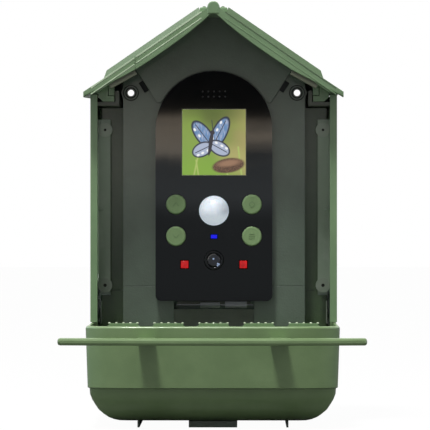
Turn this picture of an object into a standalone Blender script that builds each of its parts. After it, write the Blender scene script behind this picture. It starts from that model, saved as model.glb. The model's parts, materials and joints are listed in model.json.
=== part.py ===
# Smart bird feeder: a gable-roofed seed house with a camera unit, a pull-out tray and a perch.
# Metres, +Z up, front towards -Y. Depths are counted from the front edge of the side walls, rearwards.
import math

import bmesh
import bpy
from mathutils import Matrix, Vector

# Clearances, cutter overrun and round resolution
fit_gap = 0.0003
slide_gap = 0.0004
cut_over = 0.004
weld_lap = 0.0006
merge_distance = 0.000005
round_segments = 24
small_segments = 10
corner_steps = 6

# House
body_width = 0.148
body_depth = 0.086
side_wall = 0.0028
lip_width = 0.0042
lip_depth = 0.006
rear_wall_thickness = 0.003
base_thickness = 0.0038
base_inset = 0.0195
house_corner = 0.016
foot_tab = 0.008
foot_skin = 0.00005
base_front_depth = 0.0225
support_reach = 0.045
tongue_width = 0.0284
runner_spacing = 0.0874
runner_width = 0.0012

# Tray: its rim is the height that the rest of the house is stacked on
tray_rim_height = 0.060
tray_front_depth = 0.070
tray_rear_depth = 0.0215
tray_side_proud = 0.0001
tray_wall = 0.0024
tray_taper = 0.0012
tray_step_height = 0.0236
tray_step_inset = 0.0010
tray_step_rise = 0.0006
tray_belly = 0.0195
tray_corner_across = 0.034
tray_corner_along = 0.012
tray_rear_wall_top = 0.031
tray_curve_steps = 9
tray_front_setback = 0.0025
tray_corner_steps = 10

# Camera unit's face: heights stacked upwards from the tray's rim, widths taken inwards from its edge
face_lift = 0.0126
face_width = 0.0708
face_thickness = 0.002
face_depth = 0.019
face_corner_radius = 0.0032
arch_steps = 20
lens_above_bottom = 0.0246
ir_below_lens = 0.0026
status_above_lens = 0.0143
pir_above_lens = 0.0301
button_above_pir = 0.0037
button_row_spacing = 0.0193
lcd_above_pir = 0.0414
arch_above_lcd = 0.0077
sound_above_arch = 0.0199
sound_row_spacing = 0.0032

# Roof: its eaves are stacked on the camera unit's arch
eave_above_arch = 0.0216
eave_overhang = 0.0035
roof_rise = 0.0532
sheet_thickness = 0.0026
roof_overhang = 0.016
brim_length = 0.014
brim_drop = 0.0059
brim_stations = 10
brim_top_share = 0.12
brim_shares = (0.45, 0.74, 0.90, 0.98, 1.0, 0.99, 0.93, 0.72, 0.48, 0.26, 0.0)
brim_step_shares = ((0.0, 0.0), (0.35, 0.16), (0.7, 0.6), (1.0, 1.0))
bead_radius = 0.0038
bead_rise = 0.0006
bead_setback = 0.0004
bead_steps = 12
rib_radius = 0.0016
rib_offset = 0.0056
rib_rise = 0.0010
panel_rise = 0.0034
panel_inner = 0.0072
panel_outer_margin = 0.0109
panel_bevel = 0.0030
panel_bevel_inner_share = 0.6
panel_bevel_outer_share = 0.8
panel_rear_margin = 0.006
roof_sharp_angle = 25

# Roof rails and the channels they slide in
channel_reach = 0.0170
channel_thickness = 0.0021
channel_below_eave = 0.0077
channel_upright_height = 0.0089
channel_start_depth = 0.002
rail_clearance = 0.0006
rail_leg_thickness = 0.0057
rail_foot_height = 0.0034
rail_chamfer = 0.0028

# Front panel, a stepped pan that closes the seed hopper
panel_side_margin = 0.0188
panel_depth = 0.024
panel_thickness = 0.0022
panel_step = 0.010
seam_above_face_bottom = 0.0089
flange_drop = 0.0025
gable_cover_thickness = 0.0017
gable_cover_above_arch = 0.0164
gable_cover_slant = 0.0124
gable_cover_tube_margin = 0.0033
gable_cover_shoulder_drop = 0.0036

# Mounting tubes
mount_panel_margin = 0.0048
mount_above_eave = 0.0007
mount_tube_radius = 0.0043
mount_bore_radius = 0.0033
mount_hole_radius = 0.0021
mount_lip = 0.0012
mount_sleeve_radius = 0.0062
mount_sleeve_bore = 0.0052
mount_tube_proud = 0.0004

# Seed outlet and hopper floor
outlet_width = 0.0486
outlet_above_tray = 0.002
ramp_rise = 0.033
ramp_thickness = 0.002
ramp_leg_margin = 0.0196
ramp_leg_thickness = 0.0024
ramp_leg_front_depth = 0.040

# Clear side windows
pane_thickness = 0.0015
pane_wall_gap = 0.0008
pane_below_rim = 0.002
pane_front_depth = 0.026
strip_below_seam = 0.0055
strip_width = 0.0074
strip_thickness = 0.0016
eyelet_radius = 0.0044
eyelet_thickness = 0.0026
eyelet_hole_radius = 0.0021
eyelet_low_margin = 0.0059
eyelet_high_margin = 0.0063
eyelet_side_margin = 0.0042
post_radius = 0.0022
window_cut_front_depth = 0.040
window_cut_rear_margin = 0.006
window_cut_low_margin = 0.026
window_cut_high_margin = 0.0126
window_cut_radius = 0.006

# Screws
small_shank_radius = 0.0009
small_head_radius = 0.0018
small_head_height = 0.0013
small_screw_length = 0.0085
shank_clearance = 0.0001
pilot_extra = 0.0006
case_shank_radius = 0.0010
case_head_radius = 0.0024
case_head_height = 0.0015
case_screw_length = 0.0105
case_sink = 0.0017
case_boss_height = 0.008
case_boss_width = 0.0072
case_boss_length = 0.0125
case_screw_low_height = 0.030
drive_radius = 0.0008
drive_depth = 0.0006
head_top_share = 0.8
head_shoulder_share = 0.4

# Drain liner with the seed comb
liner_lift = 0.003
liner_thickness = 0.0015
liner_clearance = 0.0006
liner_rear_margin = 0.005
comb_depth = 0.004
comb_thickness = 0.0018
comb_tabs = 5
comb_side_margin = 0.0093
comb_tab_share = 0.8
comb_top_drop = 0.0002
comb_slot_bottom = 0.016
comb_foot_inset = 0.0043
comb_foot_rise = 0.014
comb_round = 0.003
drain_radius = 0.0017
drain_columns = 8
drain_rows = 3
drain_side_margin = 0.01325
drain_pitch_y = 0.0155
drain_sides = 6

# Perch
perch_length = 0.1776
perch_below_rim = 0.0081
perch_thickness = 0.0042
perch_bar_depth = 0.0070
perch_out = 0.026
perch_bow = 0.005
perch_bow_steps = 12
perch_round = 0.0014
perch_arm_half = 0.0382
perch_arm_width = 0.0098
perch_arm_thickness = 0.0034
perch_screw_shank = 0.0012
perch_screw_head = 0.0026
perch_screw_head_height = 0.0014
perch_screw_length = 0.009

# Camera box behind the face
box_inset = 0.0024
box_lift = 0.0014
box_wall = 0.0018
box_clearance = 0.0004
chin_width = 0.0446
chin_drop = 0.0029
chin_rear_depth = 0.038
gasket_width = 0.0019
ear_offset = 0.0042
ear_reach = 0.0044
ear_height = 0.009
ear_thickness = 0.003
ear_low_margin = 0.031
ear_above_arch = 0.0016
standoff_radius = 0.0022
standoff_side_margin = 0.008
standoff_low_margin = 0.0075
standoff_above_arch = 0.0066

# Electronics
board_thickness = 0.0016
board_depth = 0.029
board_side_margin = 0.0032
board_low_margin = 0.0032
board_above_arch = 0.0116
lcd_width = 0.0390
lcd_height = 0.0403
lcd_window_thickness = 0.0016
lcd_window_inset = 0.0002
lcd_panel_thickness = 0.0022
lcd_panel_margin = 0.0012
sound_hole_radius = 0.0006
sound_hole_pitch = 0.0034
sound_hole_columns = 5
sound_hole_sides = 6
speaker_radius = 0.0066
speaker_thickness = 0.004
pir_radius = 0.0092
pir_dome_rise = 0.0060
pir_shell = 0.0009
pir_flange = 0.0010
pir_steps = 6
sensor_radius = 0.0044
sensor_length = 0.0042
button_side_margin = 0.0124
button_radius = 0.0059
button_proud = 0.0008
button_flange = 0.0011
button_flange_thickness = 0.0010
button_stem_radius = 0.0024
button_stem_length = 0.0016
button_travel = 0.0008
switch_size = 0.0060
switch_height = 0.0030
switch_plunger_radius = 0.0017
status_width = 0.0041
status_height = 0.0025
lens_radius = 0.0058
lens_bore_radius = 0.0044
lens_bore_depth = 0.0026
lens_glass_radius = 0.0041
lens_glass_rise = 0.0013
lens_glass_edge = 0.0003
ir_spacing = 0.0356
ir_size = 0.0049
cell_radius = 0.0091
cell_length = 0.065
cell_side_gap = 0.0011
cell_low_margin = 0.011
cell_cap_radius = 0.0030
cell_cap_height = 0.0010
holder_side_margin = 0.0019
holder_plate = 0.0020
holder_end = 0.0018
holder_wrap = 0.0120

# Port covers under the camera unit
cover_thickness = 0.0012
cover_lip = 0.0010
cover_reach = 0.0100
port_setback = 0.0036
port_depth = 0.0044
port_margin = 0.0018
usb_cover_left = -0.0085
usb_cover_width = 0.0121
usb_cover_rise = 0.0019
card_cover_left = 0.0067
card_cover_width = 0.0133
card_cover_rise = 0.0026

# Tripod insert
boss_radius = 0.009
boss_height = 0.0090
boss_depth = 0.052
insert_radius = 0.0043
insert_bore_radius = 0.0030
insert_lift = 0.0006

# Worked out from the sizes above: depths
perch_reach = tray_front_depth + perch_out
front_plane = (perch_reach - body_depth) / 2
rear_inner_depth = body_depth - rear_wall_thickness
window_cut_rear_depth = rear_inner_depth - window_cut_rear_margin
liner_rear_depth = tray_rear_depth - liner_rear_margin
box_front_depth = face_depth + face_thickness + fit_gap
board_rear_depth = board_depth + board_thickness
cell_centre_depth = board_rear_depth + 2 * fit_gap + holder_plate + cell_radius
box_rear_depth = cell_centre_depth + cell_radius + slide_gap + box_wall

# Worked out from the sizes above: widths
body_half = body_width / 2
inner_half = body_half - side_wall
roof_half = body_half + eave_overhang
panel_outer = roof_half - panel_outer_margin
channel_inner = body_half - channel_reach
rail_foot_inner = channel_inner + channel_thickness + rail_clearance
rail_leg_outer = body_half - lip_width - rail_clearance
rail_leg_inner = rail_leg_outer - rail_leg_thickness
panel_half = body_half - panel_side_margin
pane_outer = inner_half - pane_wall_gap
pane_inner = pane_outer - pane_thickness
window_screw_half = pane_outer - eyelet_side_margin
mount_spacing = 2 * (panel_half - mount_panel_margin)
gable_cover_shoulder_half = mount_spacing / 2 - gable_cover_tube_margin
gable_cover_bottom_half = gable_cover_shoulder_half - gable_cover_slant
ramp_leg_half = body_half - ramp_leg_margin
tray_half = body_half + tray_side_proud
comb_half = tray_half - comb_side_margin
comb_pitch = 2 * comb_half / (comb_tabs - 1 + comb_tab_share)
comb_tab_width = comb_pitch * comb_tab_share
comb_foot_half = comb_half - comb_foot_inset
drain_pitch_x = 2 * (comb_foot_half - drain_side_margin) / (drain_columns - 1)
face_half = face_width / 2
box_half = face_half - box_inset
ear_half = box_half + ear_offset
standoff_half = box_half - standoff_side_margin
board_half = box_half - box_wall - board_side_margin
button_half = face_half - button_side_margin
ir_half = ir_spacing / 2
cell_half = cell_radius + cell_side_gap
holder_half = cell_half + cell_radius + holder_side_margin

# Worked out from the sizes above: heights
tray_bottom = base_thickness + fit_gap
wall_foot = base_thickness + fit_gap
outlet_bottom = tray_rear_wall_top + outlet_above_tray
ramp_rear_height = outlet_bottom + ramp_rise
comb_top = tray_rim_height - comb_top_drop
perch_height = tray_rim_height - perch_below_rim
face_bottom = tray_rim_height + face_lift
lens_height = face_bottom + lens_above_bottom
ir_height = lens_height - ir_below_lens
status_centre_height = lens_height + status_above_lens
pir_height = lens_height + pir_above_lens
button_high = pir_height + button_above_pir
button_heights = (button_high, button_high - button_row_spacing)
lcd_centre_height = pir_height + lcd_above_pir
arch_height = lcd_centre_height + arch_above_lcd
sound_low = arch_height + sound_above_arch
sound_hole_heights = (sound_low, sound_low + sound_row_spacing)
box_bottom = face_bottom + box_lift
chin_bottom = face_bottom - chin_drop
usb_cover_top = chin_bottom + usb_cover_rise
card_cover_top = chin_bottom + card_cover_rise
ear_heights = (box_bottom + ear_low_margin, arch_height + ear_above_arch)
standoff_heights = (box_bottom + standoff_low_margin, arch_height + standoff_above_arch)
board_bottom = box_bottom + board_low_margin
board_top = arch_height + board_above_arch
cell_bottom = box_bottom + cell_low_margin
eave_height = arch_height + eave_above_arch
ridge_height = eave_height + roof_rise
roof_slope = (ridge_height - eave_height) / roof_half
roof_angle = math.atan(roof_slope)
sheet_drop = sheet_thickness / math.cos(roof_angle)
channel_floor_height = eave_height - channel_below_eave
flange_top = channel_floor_height - slide_gap
seam_height = face_bottom + seam_above_face_bottom
strip_bottom = seam_height - strip_below_seam
mount_height = eave_height + mount_above_eave
gable_cover_bottom = arch_height + gable_cover_above_arch
case_boss_lap_height = channel_floor_height - case_boss_height + weld_lap
pane_bottom = tray_rim_height - pane_below_rim
pane_top = case_boss_lap_height - fit_gap
window_screw_heights = (strip_bottom + eyelet_low_margin, pane_top - eyelet_high_margin)
window_cut_bottom = pane_bottom + window_cut_low_margin
window_cut_top = pane_top - window_cut_high_margin

finishes = {
    "house_green": ((0.085, 0.135, 0.065), 0.45, 0.0),
    "shadow_green": ((0.060, 0.085, 0.055), 0.55, 0.0),
    "trim_green": ((0.17, 0.27, 0.11), 0.5, 0.0),
    "clear_plastic": ((0.30, 0.32, 0.30), 0.12, 0.0),
    "gloss_black": ((0.012, 0.013, 0.015), 0.12, 0.0),
    "black_plastic": ((0.02, 0.02, 0.022), 0.5, 0.0),
    "black_rubber": ((0.025, 0.025, 0.025), 0.8, 0.0),
    "grey_rubber": ((0.10, 0.10, 0.10), 0.7, 0.0),
    "screen_glass": ((0.25, 0.42, 0.10), 0.1, 0.0),
    "circuit_green": ((0.02, 0.11, 0.05), 0.4, 0.0),
    "white_dome": ((0.80, 0.84, 0.86), 0.3, 0.0),
    "lens_glass": ((0.02, 0.02, 0.04), 0.05, 0.0),
    "infra_red": ((0.60, 0.01, 0.01), 0.3, 0.0),
    "status_blue": ((0.01, 0.01, 0.80), 0.3, 0.0),
    "steel": ((0.55, 0.55, 0.56), 0.3, 1.0),
    "brass": ((0.70, 0.50, 0.20), 0.3, 1.0),
    "cell_wrap": ((0.05, 0.16, 0.42), 0.4, 0.0),
}


def at(depth):
    return front_plane + depth


def roof_top(x):
    return ridge_height - roof_slope * abs(x)


def roof_under(x):
    return roof_top(x) - sheet_drop


def gable_cover_shoulder_height():
    return roof_under(gable_cover_shoulder_half) - gable_cover_shoulder_drop


def finish_of(name):
    known = bpy.data.materials.get(name)
    if known:
        return known
    colour, roughness, metallic = finishes[name]
    made = bpy.data.materials.new(name)
    made.use_nodes = True
    shader = made.node_tree.nodes["Principled BSDF"]
    shader.inputs["Base Color"].default_value = (*colour, 1.0)
    shader.inputs["Roughness"].default_value = roughness
    shader.inputs["Metallic"].default_value = metallic
    made.diffuse_color = (*colour, 1.0)
    return made


def add_object(name, mesh_builder, finish):
    bmesh.ops.recalc_face_normals(mesh_builder, faces=mesh_builder.faces)
    mesh = bpy.data.meshes.new(name)
    mesh_builder.to_mesh(mesh)
    mesh_builder.free()
    if finish:
        mesh.materials.append(finish_of(finish))
    obj = bpy.data.objects.new(name, mesh)
    bpy.context.scene.collection.objects.link(obj)
    return obj


def placed(u, v, along, axis):
    return {"X": (along, u, v), "Y": (u, along, v), "Z": (u, v, along)}[axis]


# A flat outline pushed along an axis. Outline pairs are the other two axes, in X, Y, Z order.
def prism(name, outline, axis, low, high, finish=None):
    bm = bmesh.new()
    face = bm.faces.new([bm.verts.new(placed(u, v, low, axis)) for u, v in outline])
    pushed = bmesh.ops.extrude_face_region(bm, geom=[face])
    moved = [g for g in pushed["geom"] if isinstance(g, bmesh.types.BMVert)]
    bmesh.ops.translate(bm, verts=moved, vec=Vector(placed(0, 0, high - low, axis)))
    return add_object(name, bm, finish)


def block(name, xs, ys, zs, finish=None):
    outline = [(xs[0], ys[0]), (xs[1], ys[0]), (xs[1], ys[1]), (xs[0], ys[1])]
    return prism(name, outline, "Z", zs[0], zs[1], finish)


def circle(u, v, radius, segments):
    turn = 2 * math.pi / segments
    return [(u + radius * math.cos(i * turn), v + radius * math.sin(i * turn)) for i in range(segments)]


def rod(name, centre, radius, axis, low, high, finish=None, segments=small_segments):
    return prism(name, circle(*centre, radius, segments), axis, low, high, finish)


# A profile of (radius, place along the axis) turned about an axis through a centre.
def turned(name, profile, centre, axis, finish, segments=round_segments):
    bm = bmesh.new()
    line = [bm.verts.new(placed(centre[0] + r, centre[1], along, axis)) for r, along in profile]
    edges = [bm.edges.new(pair) for pair in zip(line, line[1:])]
    bmesh.ops.spin(
        bm,
        geom=line + edges,
        cent=placed(*centre, 0, axis),
        axis=placed(0, 0, 1, axis),
        angle=2 * math.pi,
        steps=segments,
        use_merge=True,
    )
    bmesh.ops.remove_doubles(bm, verts=bm.verts, dist=merge_distance)
    return add_object(name, bm, finish)


# Rings of equal length joined one to the next and closed at both ends, in strips where the ring is a thin sheet.
def loft(name, rings, finish=None, thin=False):
    bm = bmesh.new()
    made = [[bm.verts.new(p) for p in ring] for ring in rings]
    count = len(made[0])
    for first, second in zip(made, made[1:]):
        for i in range(count):
            j = (i + 1) % count
            bm.faces.new((first[i], first[j], second[j], second[i]))
    for ring in (made[0], made[-1]):
        if thin:
            for i in range(count // 2 - 1):
                bm.faces.new((ring[i], ring[i + 1], ring[count - 2 - i], ring[count - 1 - i]))
        else:
            bm.faces.new(ring)
    bmesh.ops.connect_verts_nonplanar(bm, angle_limit=math.radians(0.01), faces=bm.faces)
    return add_object(name, bm, finish)


def arc(u, v, radius, start, end, steps):
    return [
        (
            u + radius * math.cos(math.radians(start + (end - start) * i / steps)),
            v + radius * math.sin(math.radians(start + (end - start) * i / steps)),
        )
        for i in range(steps + 1)
    ]


def rounded_box_outline(u0, u1, v0, v1, radius, steps=4):
    return (
        arc(u0 + radius, v0 + radius, radius, 180, 270, steps)
        + arc(u1 - radius, v0 + radius, radius, 270, 360, steps)
        + arc(u1 - radius, v1 - radius, radius, 0, 90, steps)
        + arc(u0 + radius, v1 - radius, radius, 90, 180, steps)
    )


def arch_outline(half, bottom, corner):
    return (
        arc(-half + corner, bottom + corner, corner, 180, 270, 4)
        + arc(half - corner, bottom + corner, corner, 270, 360, 4)
        + arc(0, arch_height, half, 0, 180, arch_steps)
    )


def combine(target, operation, tools):
    for tool in tools:
        step = target.modifiers.new(f"{operation} {tool.name}", "BOOLEAN")
        step.operation = operation
        step.solver = "EXACT"
        step.object = tool
        tool.hide_render = True
        tool.display_type = "WIRE"
    return target


def cut(target, *tools):
    return combine(target, "DIFFERENCE", tools)


def weld(target, *tools):
    return combine(target, "UNION", tools)


# Round pieces are shaded smooth; the angle is past that of a 12-sided rod and under a square corner.
def smooth(obj, angle=40):
    obj.data.shade_smooth()
    obj.data.set_sharp_from_angle(angle=math.radians(angle))
    return obj


def mirrored_pair(outline, side):
    return [(side * u, v) for u, v in outline]


# Moves an object's origin to a point on its joint, leaving the shape where it is.
def set_origin(obj, point):
    obj.data.transform(Matrix.Translation(-Vector(point)))
    obj.location = point
    return obj


def span(side, inner, outer):
    return sorted((side * inner, side * outer))


def build_rear_wall():
    top = -slide_gap
    middle = (body_half - house_corner, wall_foot + house_corner)
    outline = arc(-middle[0], middle[1], house_corner, 180, 270, corner_steps)
    outline += arc(*middle, house_corner, 270, 360, corner_steps)
    outline += [
        (body_half, roof_under(body_half) + top),
        (0, roof_under(0) + top),
        (-body_half, roof_under(body_half) + top),
    ]
    wall = prism("rear_wall", outline, "Y", at(rear_inner_depth), at(body_depth), "shadow_green")
    tube_front = panel_depth - mount_tube_proud
    sleeve_front = panel_depth + panel_thickness + fit_gap
    tools = []
    for side in (-1, 1):
        centre = (side * mount_spacing / 2, mount_height)
        tube = rod(
            f"tube {side}", centre, mount_tube_radius, "Y", at(tube_front), at(rear_inner_depth + weld_lap)
        )
        sleeve = rod(
            f"sleeve {side}", centre, mount_sleeve_radius, "Y",
            at(sleeve_front), at(rear_inner_depth + weld_lap),
        )
        weld(wall, tube, sleeve)
        tools += [
            rod(
                f"mount hole {side}", centre, mount_hole_radius, "Y",
                at(tube_front - cut_over), at(sleeve_front + cut_over),
            ),
            rod(
                f"tube bore {side}", centre, mount_bore_radius, "Y",
                at(tube_front + mount_lip), at(sleeve_front + 2 * mount_lip),
            ),
            rod(
                f"sleeve bore {side}", centre, mount_sleeve_bore, "Y",
                at(sleeve_front + mount_lip), at(body_depth + cut_over),
            ),
        ]
    for number, (x, z) in enumerate(case_screw_places()):
        hole = rod(
            f"case hole {number}", (x, z), case_shank_radius + shank_clearance, "Y",
            at(rear_inner_depth - cut_over), at(body_depth + cut_over),
        )
        sink = rod(
            f"case sink {number}", (x, z), case_head_radius + fit_gap, "Y",
            at(body_depth - case_sink), at(body_depth + cut_over),
        )
        tools += [hole, sink]
    return smooth(cut(wall, *tools))


def case_screw_half():
    return inner_half - case_boss_width / 2 - side_wall / 2


def case_screw_high_height():
    return channel_floor_height - case_boss_height / 2 + weld_lap


def case_screw_places():
    heights = (case_screw_low_height, case_screw_high_height())
    return [(side * case_screw_half(), z) for side in (-1, 1) for z in heights]


def build_side_wall(side, name):
    wall_top = roof_under(body_half) - slide_gap
    rear = rear_inner_depth - fit_gap
    foot_front = base_front_depth - fit_gap
    low_front = tray_rim_height + fit_gap
    outline = [
        (at(0), low_front),
        (at(foot_front), low_front),
        (at(foot_front), wall_foot + house_corner),
        (at(rear), wall_foot + house_corner),
        (at(rear), wall_top),
        (at(0), wall_top),
    ]
    wall = prism(name, outline, "X", *span(side, inner_half, body_half), "house_green")
    lip = block(
        f"lip {side}", span(side, body_half - lip_width, inner_half + weld_lap),
        (at(0), at(lip_depth)), (low_front, wall_top),
    )
    floor_top = channel_floor_height + channel_thickness
    channel = prism(
        f"channel {side}",
        mirrored_pair(
            [
                (channel_inner, channel_floor_height),
                (inner_half + weld_lap, channel_floor_height),
                (inner_half + weld_lap, floor_top),
                (channel_inner + channel_thickness, floor_top),
                (channel_inner + channel_thickness, channel_floor_height + channel_upright_height),
                (channel_inner, channel_floor_height + channel_upright_height),
            ],
            side,
        ),
        "Y", at(channel_start_depth), at(rear),
    )
    bosses = []
    for z in (case_screw_low_height, case_screw_high_height()):
        bosses.append(
            block(
                f"boss {side} {z:.3f}",
                span(side, case_screw_half() - case_boss_width / 2, inner_half + weld_lap),
                (at(rear - case_boss_length), at(rear)),
                (z - case_boss_height / 2, z + case_boss_height / 2),
            )
        )
    middle = (body_half - house_corner, wall_foot + house_corner)
    outer = arc(*middle, house_corner - foot_skin, 0, -90, corner_steps)
    inner = arc(*middle, house_corner - side_wall + foot_skin, -90, 0, corner_steps)
    tab = body_half - house_corner - foot_tab
    band = [(outer[0][0], outer[0][1] + weld_lap)] + outer + [(tab, outer[-1][1]), (tab, inner[0][1])]
    band += inner + [(inner[-1][0], inner[-1][1] + weld_lap)]
    foot = prism(f"foot {side}", mirrored_pair(band, side), "Y", at(foot_front), at(rear))
    weld(wall, lip, channel, foot, *bosses)
    opening = prism(
        f"window cut {side}",
        rounded_box_outline(
            at(window_cut_front_depth), at(window_cut_rear_depth), window_cut_bottom, window_cut_top, window_cut_radius
        ),
        "X", *span(side, inner_half - cut_over, body_half + cut_over),
    )
    holes = [
        rod(
            f"boss hole {side} {z:.3f}", (side * case_screw_half(), z), case_shank_radius + shank_clearance, "Y",
            at(rear - case_screw_length - pilot_extra + rear_wall_thickness - case_sink), at(rear + cut_over),
        )
        for z in (case_screw_low_height, case_screw_high_height())
    ]
    return cut(wall, opening, *holes)


def build_base():
    base = block(
        "base", (-body_half + base_inset, body_half - base_inset), (at(base_front_depth), at(body_depth)),
        (0, base_thickness), "shadow_green",
    )
    tongue = block(
        "tongue", (-tongue_width / 2, tongue_width / 2),
        (at(-support_reach), at(base_front_depth + weld_lap)), (0, base_thickness),
    )
    runners = [
        block(
            f"runner {side}",
            span(side, runner_spacing / 2 - runner_width / 2, runner_spacing / 2 + runner_width / 2),
            (at(-support_reach), at(base_front_depth + weld_lap)), (0, base_thickness),
        )
        for side in (-1, 1)
    ]
    boss = rod("boss", (0, at(boss_depth)), boss_radius, "Z", 0, boss_height, segments=round_segments)
    weld(base, tongue, *runners, boss)
    socket = rod(
        "insert socket", (0, at(boss_depth)), insert_radius + fit_gap, "Z", -cut_over, boss_height + cut_over
    )
    smooth(cut(base, socket))
    turned(
        "tripod_insert",
        [
            (insert_bore_radius, insert_lift),
            (insert_radius, insert_lift),
            (insert_radius, boss_height - insert_lift),
            (insert_bore_radius, boss_height - insert_lift),
            (insert_bore_radius, insert_lift),
        ],
        (0, at(boss_depth)), "Z", "brass", small_segments,
    )


# The pan section, seen from above: a raised middle, two returns and two side flanges set back by the step.
def pan_pieces(name, middle_outline, flange_low, flange_high, middle_low, middle_high, finish):
    back = panel_depth + panel_step
    pan = prism(name, middle_outline, "Y", at(panel_depth), at(panel_depth + panel_thickness), finish)
    flange_outer = pane_inner - fit_gap
    for side in (-1, 1):
        low = max(middle_low, flange_low)
        high = min(middle_high, flange_high)
        wing = prism(
            f"{name} wing {side}",
            [
                (side * (panel_half - panel_thickness), at(panel_depth)),
                (side * panel_half, at(panel_depth)),
                (side * panel_half, at(back)),
                (side * flange_outer, at(back)),
                (side * flange_outer, at(back + panel_thickness)),
                (side * (panel_half - panel_thickness), at(back + panel_thickness)),
            ],
            "Z", low, high,
        )
        weld(pan, wing)
        if flange_low < middle_low:
            tab = block(
                f"{name} tab {side}", span(side, panel_half + fit_gap, flange_outer),
                (at(back), at(back + panel_thickness)), (flange_low, middle_low + weld_lap),
            )
            weld(pan, tab)
    return pan


def build_front_panel():
    gap = slide_gap
    low = seam_height + fit_gap / 2
    outline = [
        (-panel_half, low),
        (panel_half, low),
        (panel_half, roof_under(panel_half) - gap),
        (0, roof_under(0) - gap),
        (-panel_half, roof_under(panel_half) - gap),
    ]
    pan = pan_pieces(
        "front_panel", outline, seam_height - flange_drop, flange_top, low, roof_under(panel_half) - gap, "shadow_green"
    )
    back = panel_depth + panel_step
    tools = [
        prism(
            "camera opening", arch_outline(
                box_half + box_clearance, chin_bottom - cut_over, face_corner_radius,
            ),
            "Y", at(panel_depth - cut_over), at(panel_depth + panel_thickness + cut_over),
        )
    ]
    post_front = pane_front_depth + strip_thickness + fit_gap
    for side in (-1, 1):
        for z in window_screw_heights:
            post = rod(
                f"post {side} {z:.3f}", (side * window_screw_half, z), post_radius, "Y",
                at(post_front), at(back + weld_lap),
            )
            weld(pan, post)
            tools.append(window_pilot(side, z, "post pilot"))
        centre = (side * mount_spacing / 2, mount_height)
        tools.append(
            rod(
                f"tube opening {side}", centre, mount_tube_radius + fit_gap, "Y",
                at(panel_depth - cut_over), at(panel_depth + panel_thickness + cut_over),
            )
        )
        for z in ear_heights:
            tools.append(
                rod(
                    f"ear pilot {side} {z:.3f}", (side * ear_screw_half(), z), small_shank_radius + shank_clearance,
                    "Y", at(ear_screw_tip() - pilot_extra / 2), at(panel_depth + panel_thickness + cut_over),
                )
            )
    return smooth(cut(pan, *tools))


def window_head_depth():
    return pane_front_depth + strip_thickness - eyelet_thickness + pilot_extra


def window_pilot(side, z, name):
    tip = window_head_depth() + small_screw_length + pilot_extra
    return rod(
        f"{name} {side} {z:.3f}", (side * window_screw_half, z), small_shank_radius + shank_clearance, "Y",
        at(pane_front_depth - cut_over), at(min(tip, panel_depth + panel_step + panel_thickness / 2)),
    )


def ear_screw_half():
    return ear_half


def ear_front_depth():
    return panel_depth + panel_thickness + fit_gap


def ear_screw_tip():
    return panel_depth + panel_thickness / 2


def build_gable_cover():
    gap = slide_gap
    outline = [
        (-gable_cover_bottom_half, gable_cover_bottom),
        (gable_cover_bottom_half, gable_cover_bottom),
        (gable_cover_shoulder_half, gable_cover_shoulder_height()),
        (gable_cover_shoulder_half, roof_under(gable_cover_shoulder_half) - gap),
        (0, roof_under(0) - gap),
        (-gable_cover_shoulder_half, roof_under(gable_cover_shoulder_half) - gap),
        (-gable_cover_shoulder_half, gable_cover_shoulder_height()),
    ]
    rear = panel_depth - fit_gap
    cover = prism("gable_cover", outline, "Y", at(rear - gable_cover_thickness), at(rear), "shadow_green")
    opening = prism(
        "cover opening", arch_outline(face_half + slide_gap, face_bottom, face_corner_radius),
        "Y", at(rear - gable_cover_thickness - cut_over), at(rear + cut_over),
    )
    return cut(cover, opening)


def build_lower_front():
    high = seam_height - fit_gap / 2
    flange_high = seam_height - flange_drop - fit_gap
    notch = body_half - house_corner - foot_tab - fit_gap
    tab_top = wall_foot + side_wall + fit_gap
    outline = [
        (-panel_half, tab_top), (-notch, tab_top), (-notch, wall_foot), (notch, wall_foot),
        (notch, tab_top), (panel_half, tab_top), (panel_half, high), (-panel_half, high),
    ]
    wing_low = wall_foot + house_corner
    pan = pan_pieces("lower_front", outline, wing_low, flange_high, tab_top, high, "shadow_green")
    through = (at(panel_depth - cut_over), at(panel_depth + panel_thickness + cut_over))
    outlet = block(
        "outlet cut", (-outlet_width / 2, outlet_width / 2), through, (outlet_bottom, box_bottom + weld_lap)
    )
    seat = block(
        "camera seat cut", (-box_half - box_clearance, box_half + box_clearance), through,
        (box_bottom - box_clearance, seam_height + cut_over),
    )
    return cut(pan, outlet, seat)


def ramp_height(depth):
    front = panel_depth + panel_thickness + fit_gap
    share = (depth - front) / (rear_inner_depth - fit_gap - front)
    return outlet_bottom + (ramp_rear_height - outlet_bottom) * share


def build_hopper_floor():
    front = panel_depth + panel_thickness + fit_gap
    step = panel_depth + panel_step + panel_thickness + fit_gap
    rear = rear_inner_depth - fit_gap
    outer = pane_inner - fit_gap
    inner = panel_half - panel_thickness - fit_gap
    outline = [
        (at(front), ramp_height(front) - ramp_thickness),
        (at(rear), ramp_height(rear) - ramp_thickness),
        (at(rear), ramp_height(rear)),
        (at(front), ramp_height(front)),
    ]
    ramp = prism("hopper_floor", outline, "X", -outer, outer, "shadow_green")
    leg_rear = rear - case_boss_length - fit_gap
    leg_low = wall_foot + side_wall + fit_gap
    notches = []
    for side in (-1, 1):
        leg = prism(
            f"ramp leg {side}",
            [
                (at(ramp_leg_front_depth), leg_low),
                (at(leg_rear), leg_low),
                (at(leg_rear), ramp_height(leg_rear) - ramp_thickness / 2),
                (at(ramp_leg_front_depth), ramp_height(ramp_leg_front_depth) - ramp_thickness / 2),
            ],
            "X", *span(side, ramp_leg_half - ramp_leg_thickness, ramp_leg_half),
        )
        weld(ramp, leg)
        notches.append(
            block(
                f"ramp notch {side}", span(side, inner, outer + cut_over), (at(front - cut_over), at(step)),
                (outlet_bottom - ramp_thickness - cut_over, ramp_height(step) + cut_over),
            )
        )
    cut(ramp, *notches)
    return ramp


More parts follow.
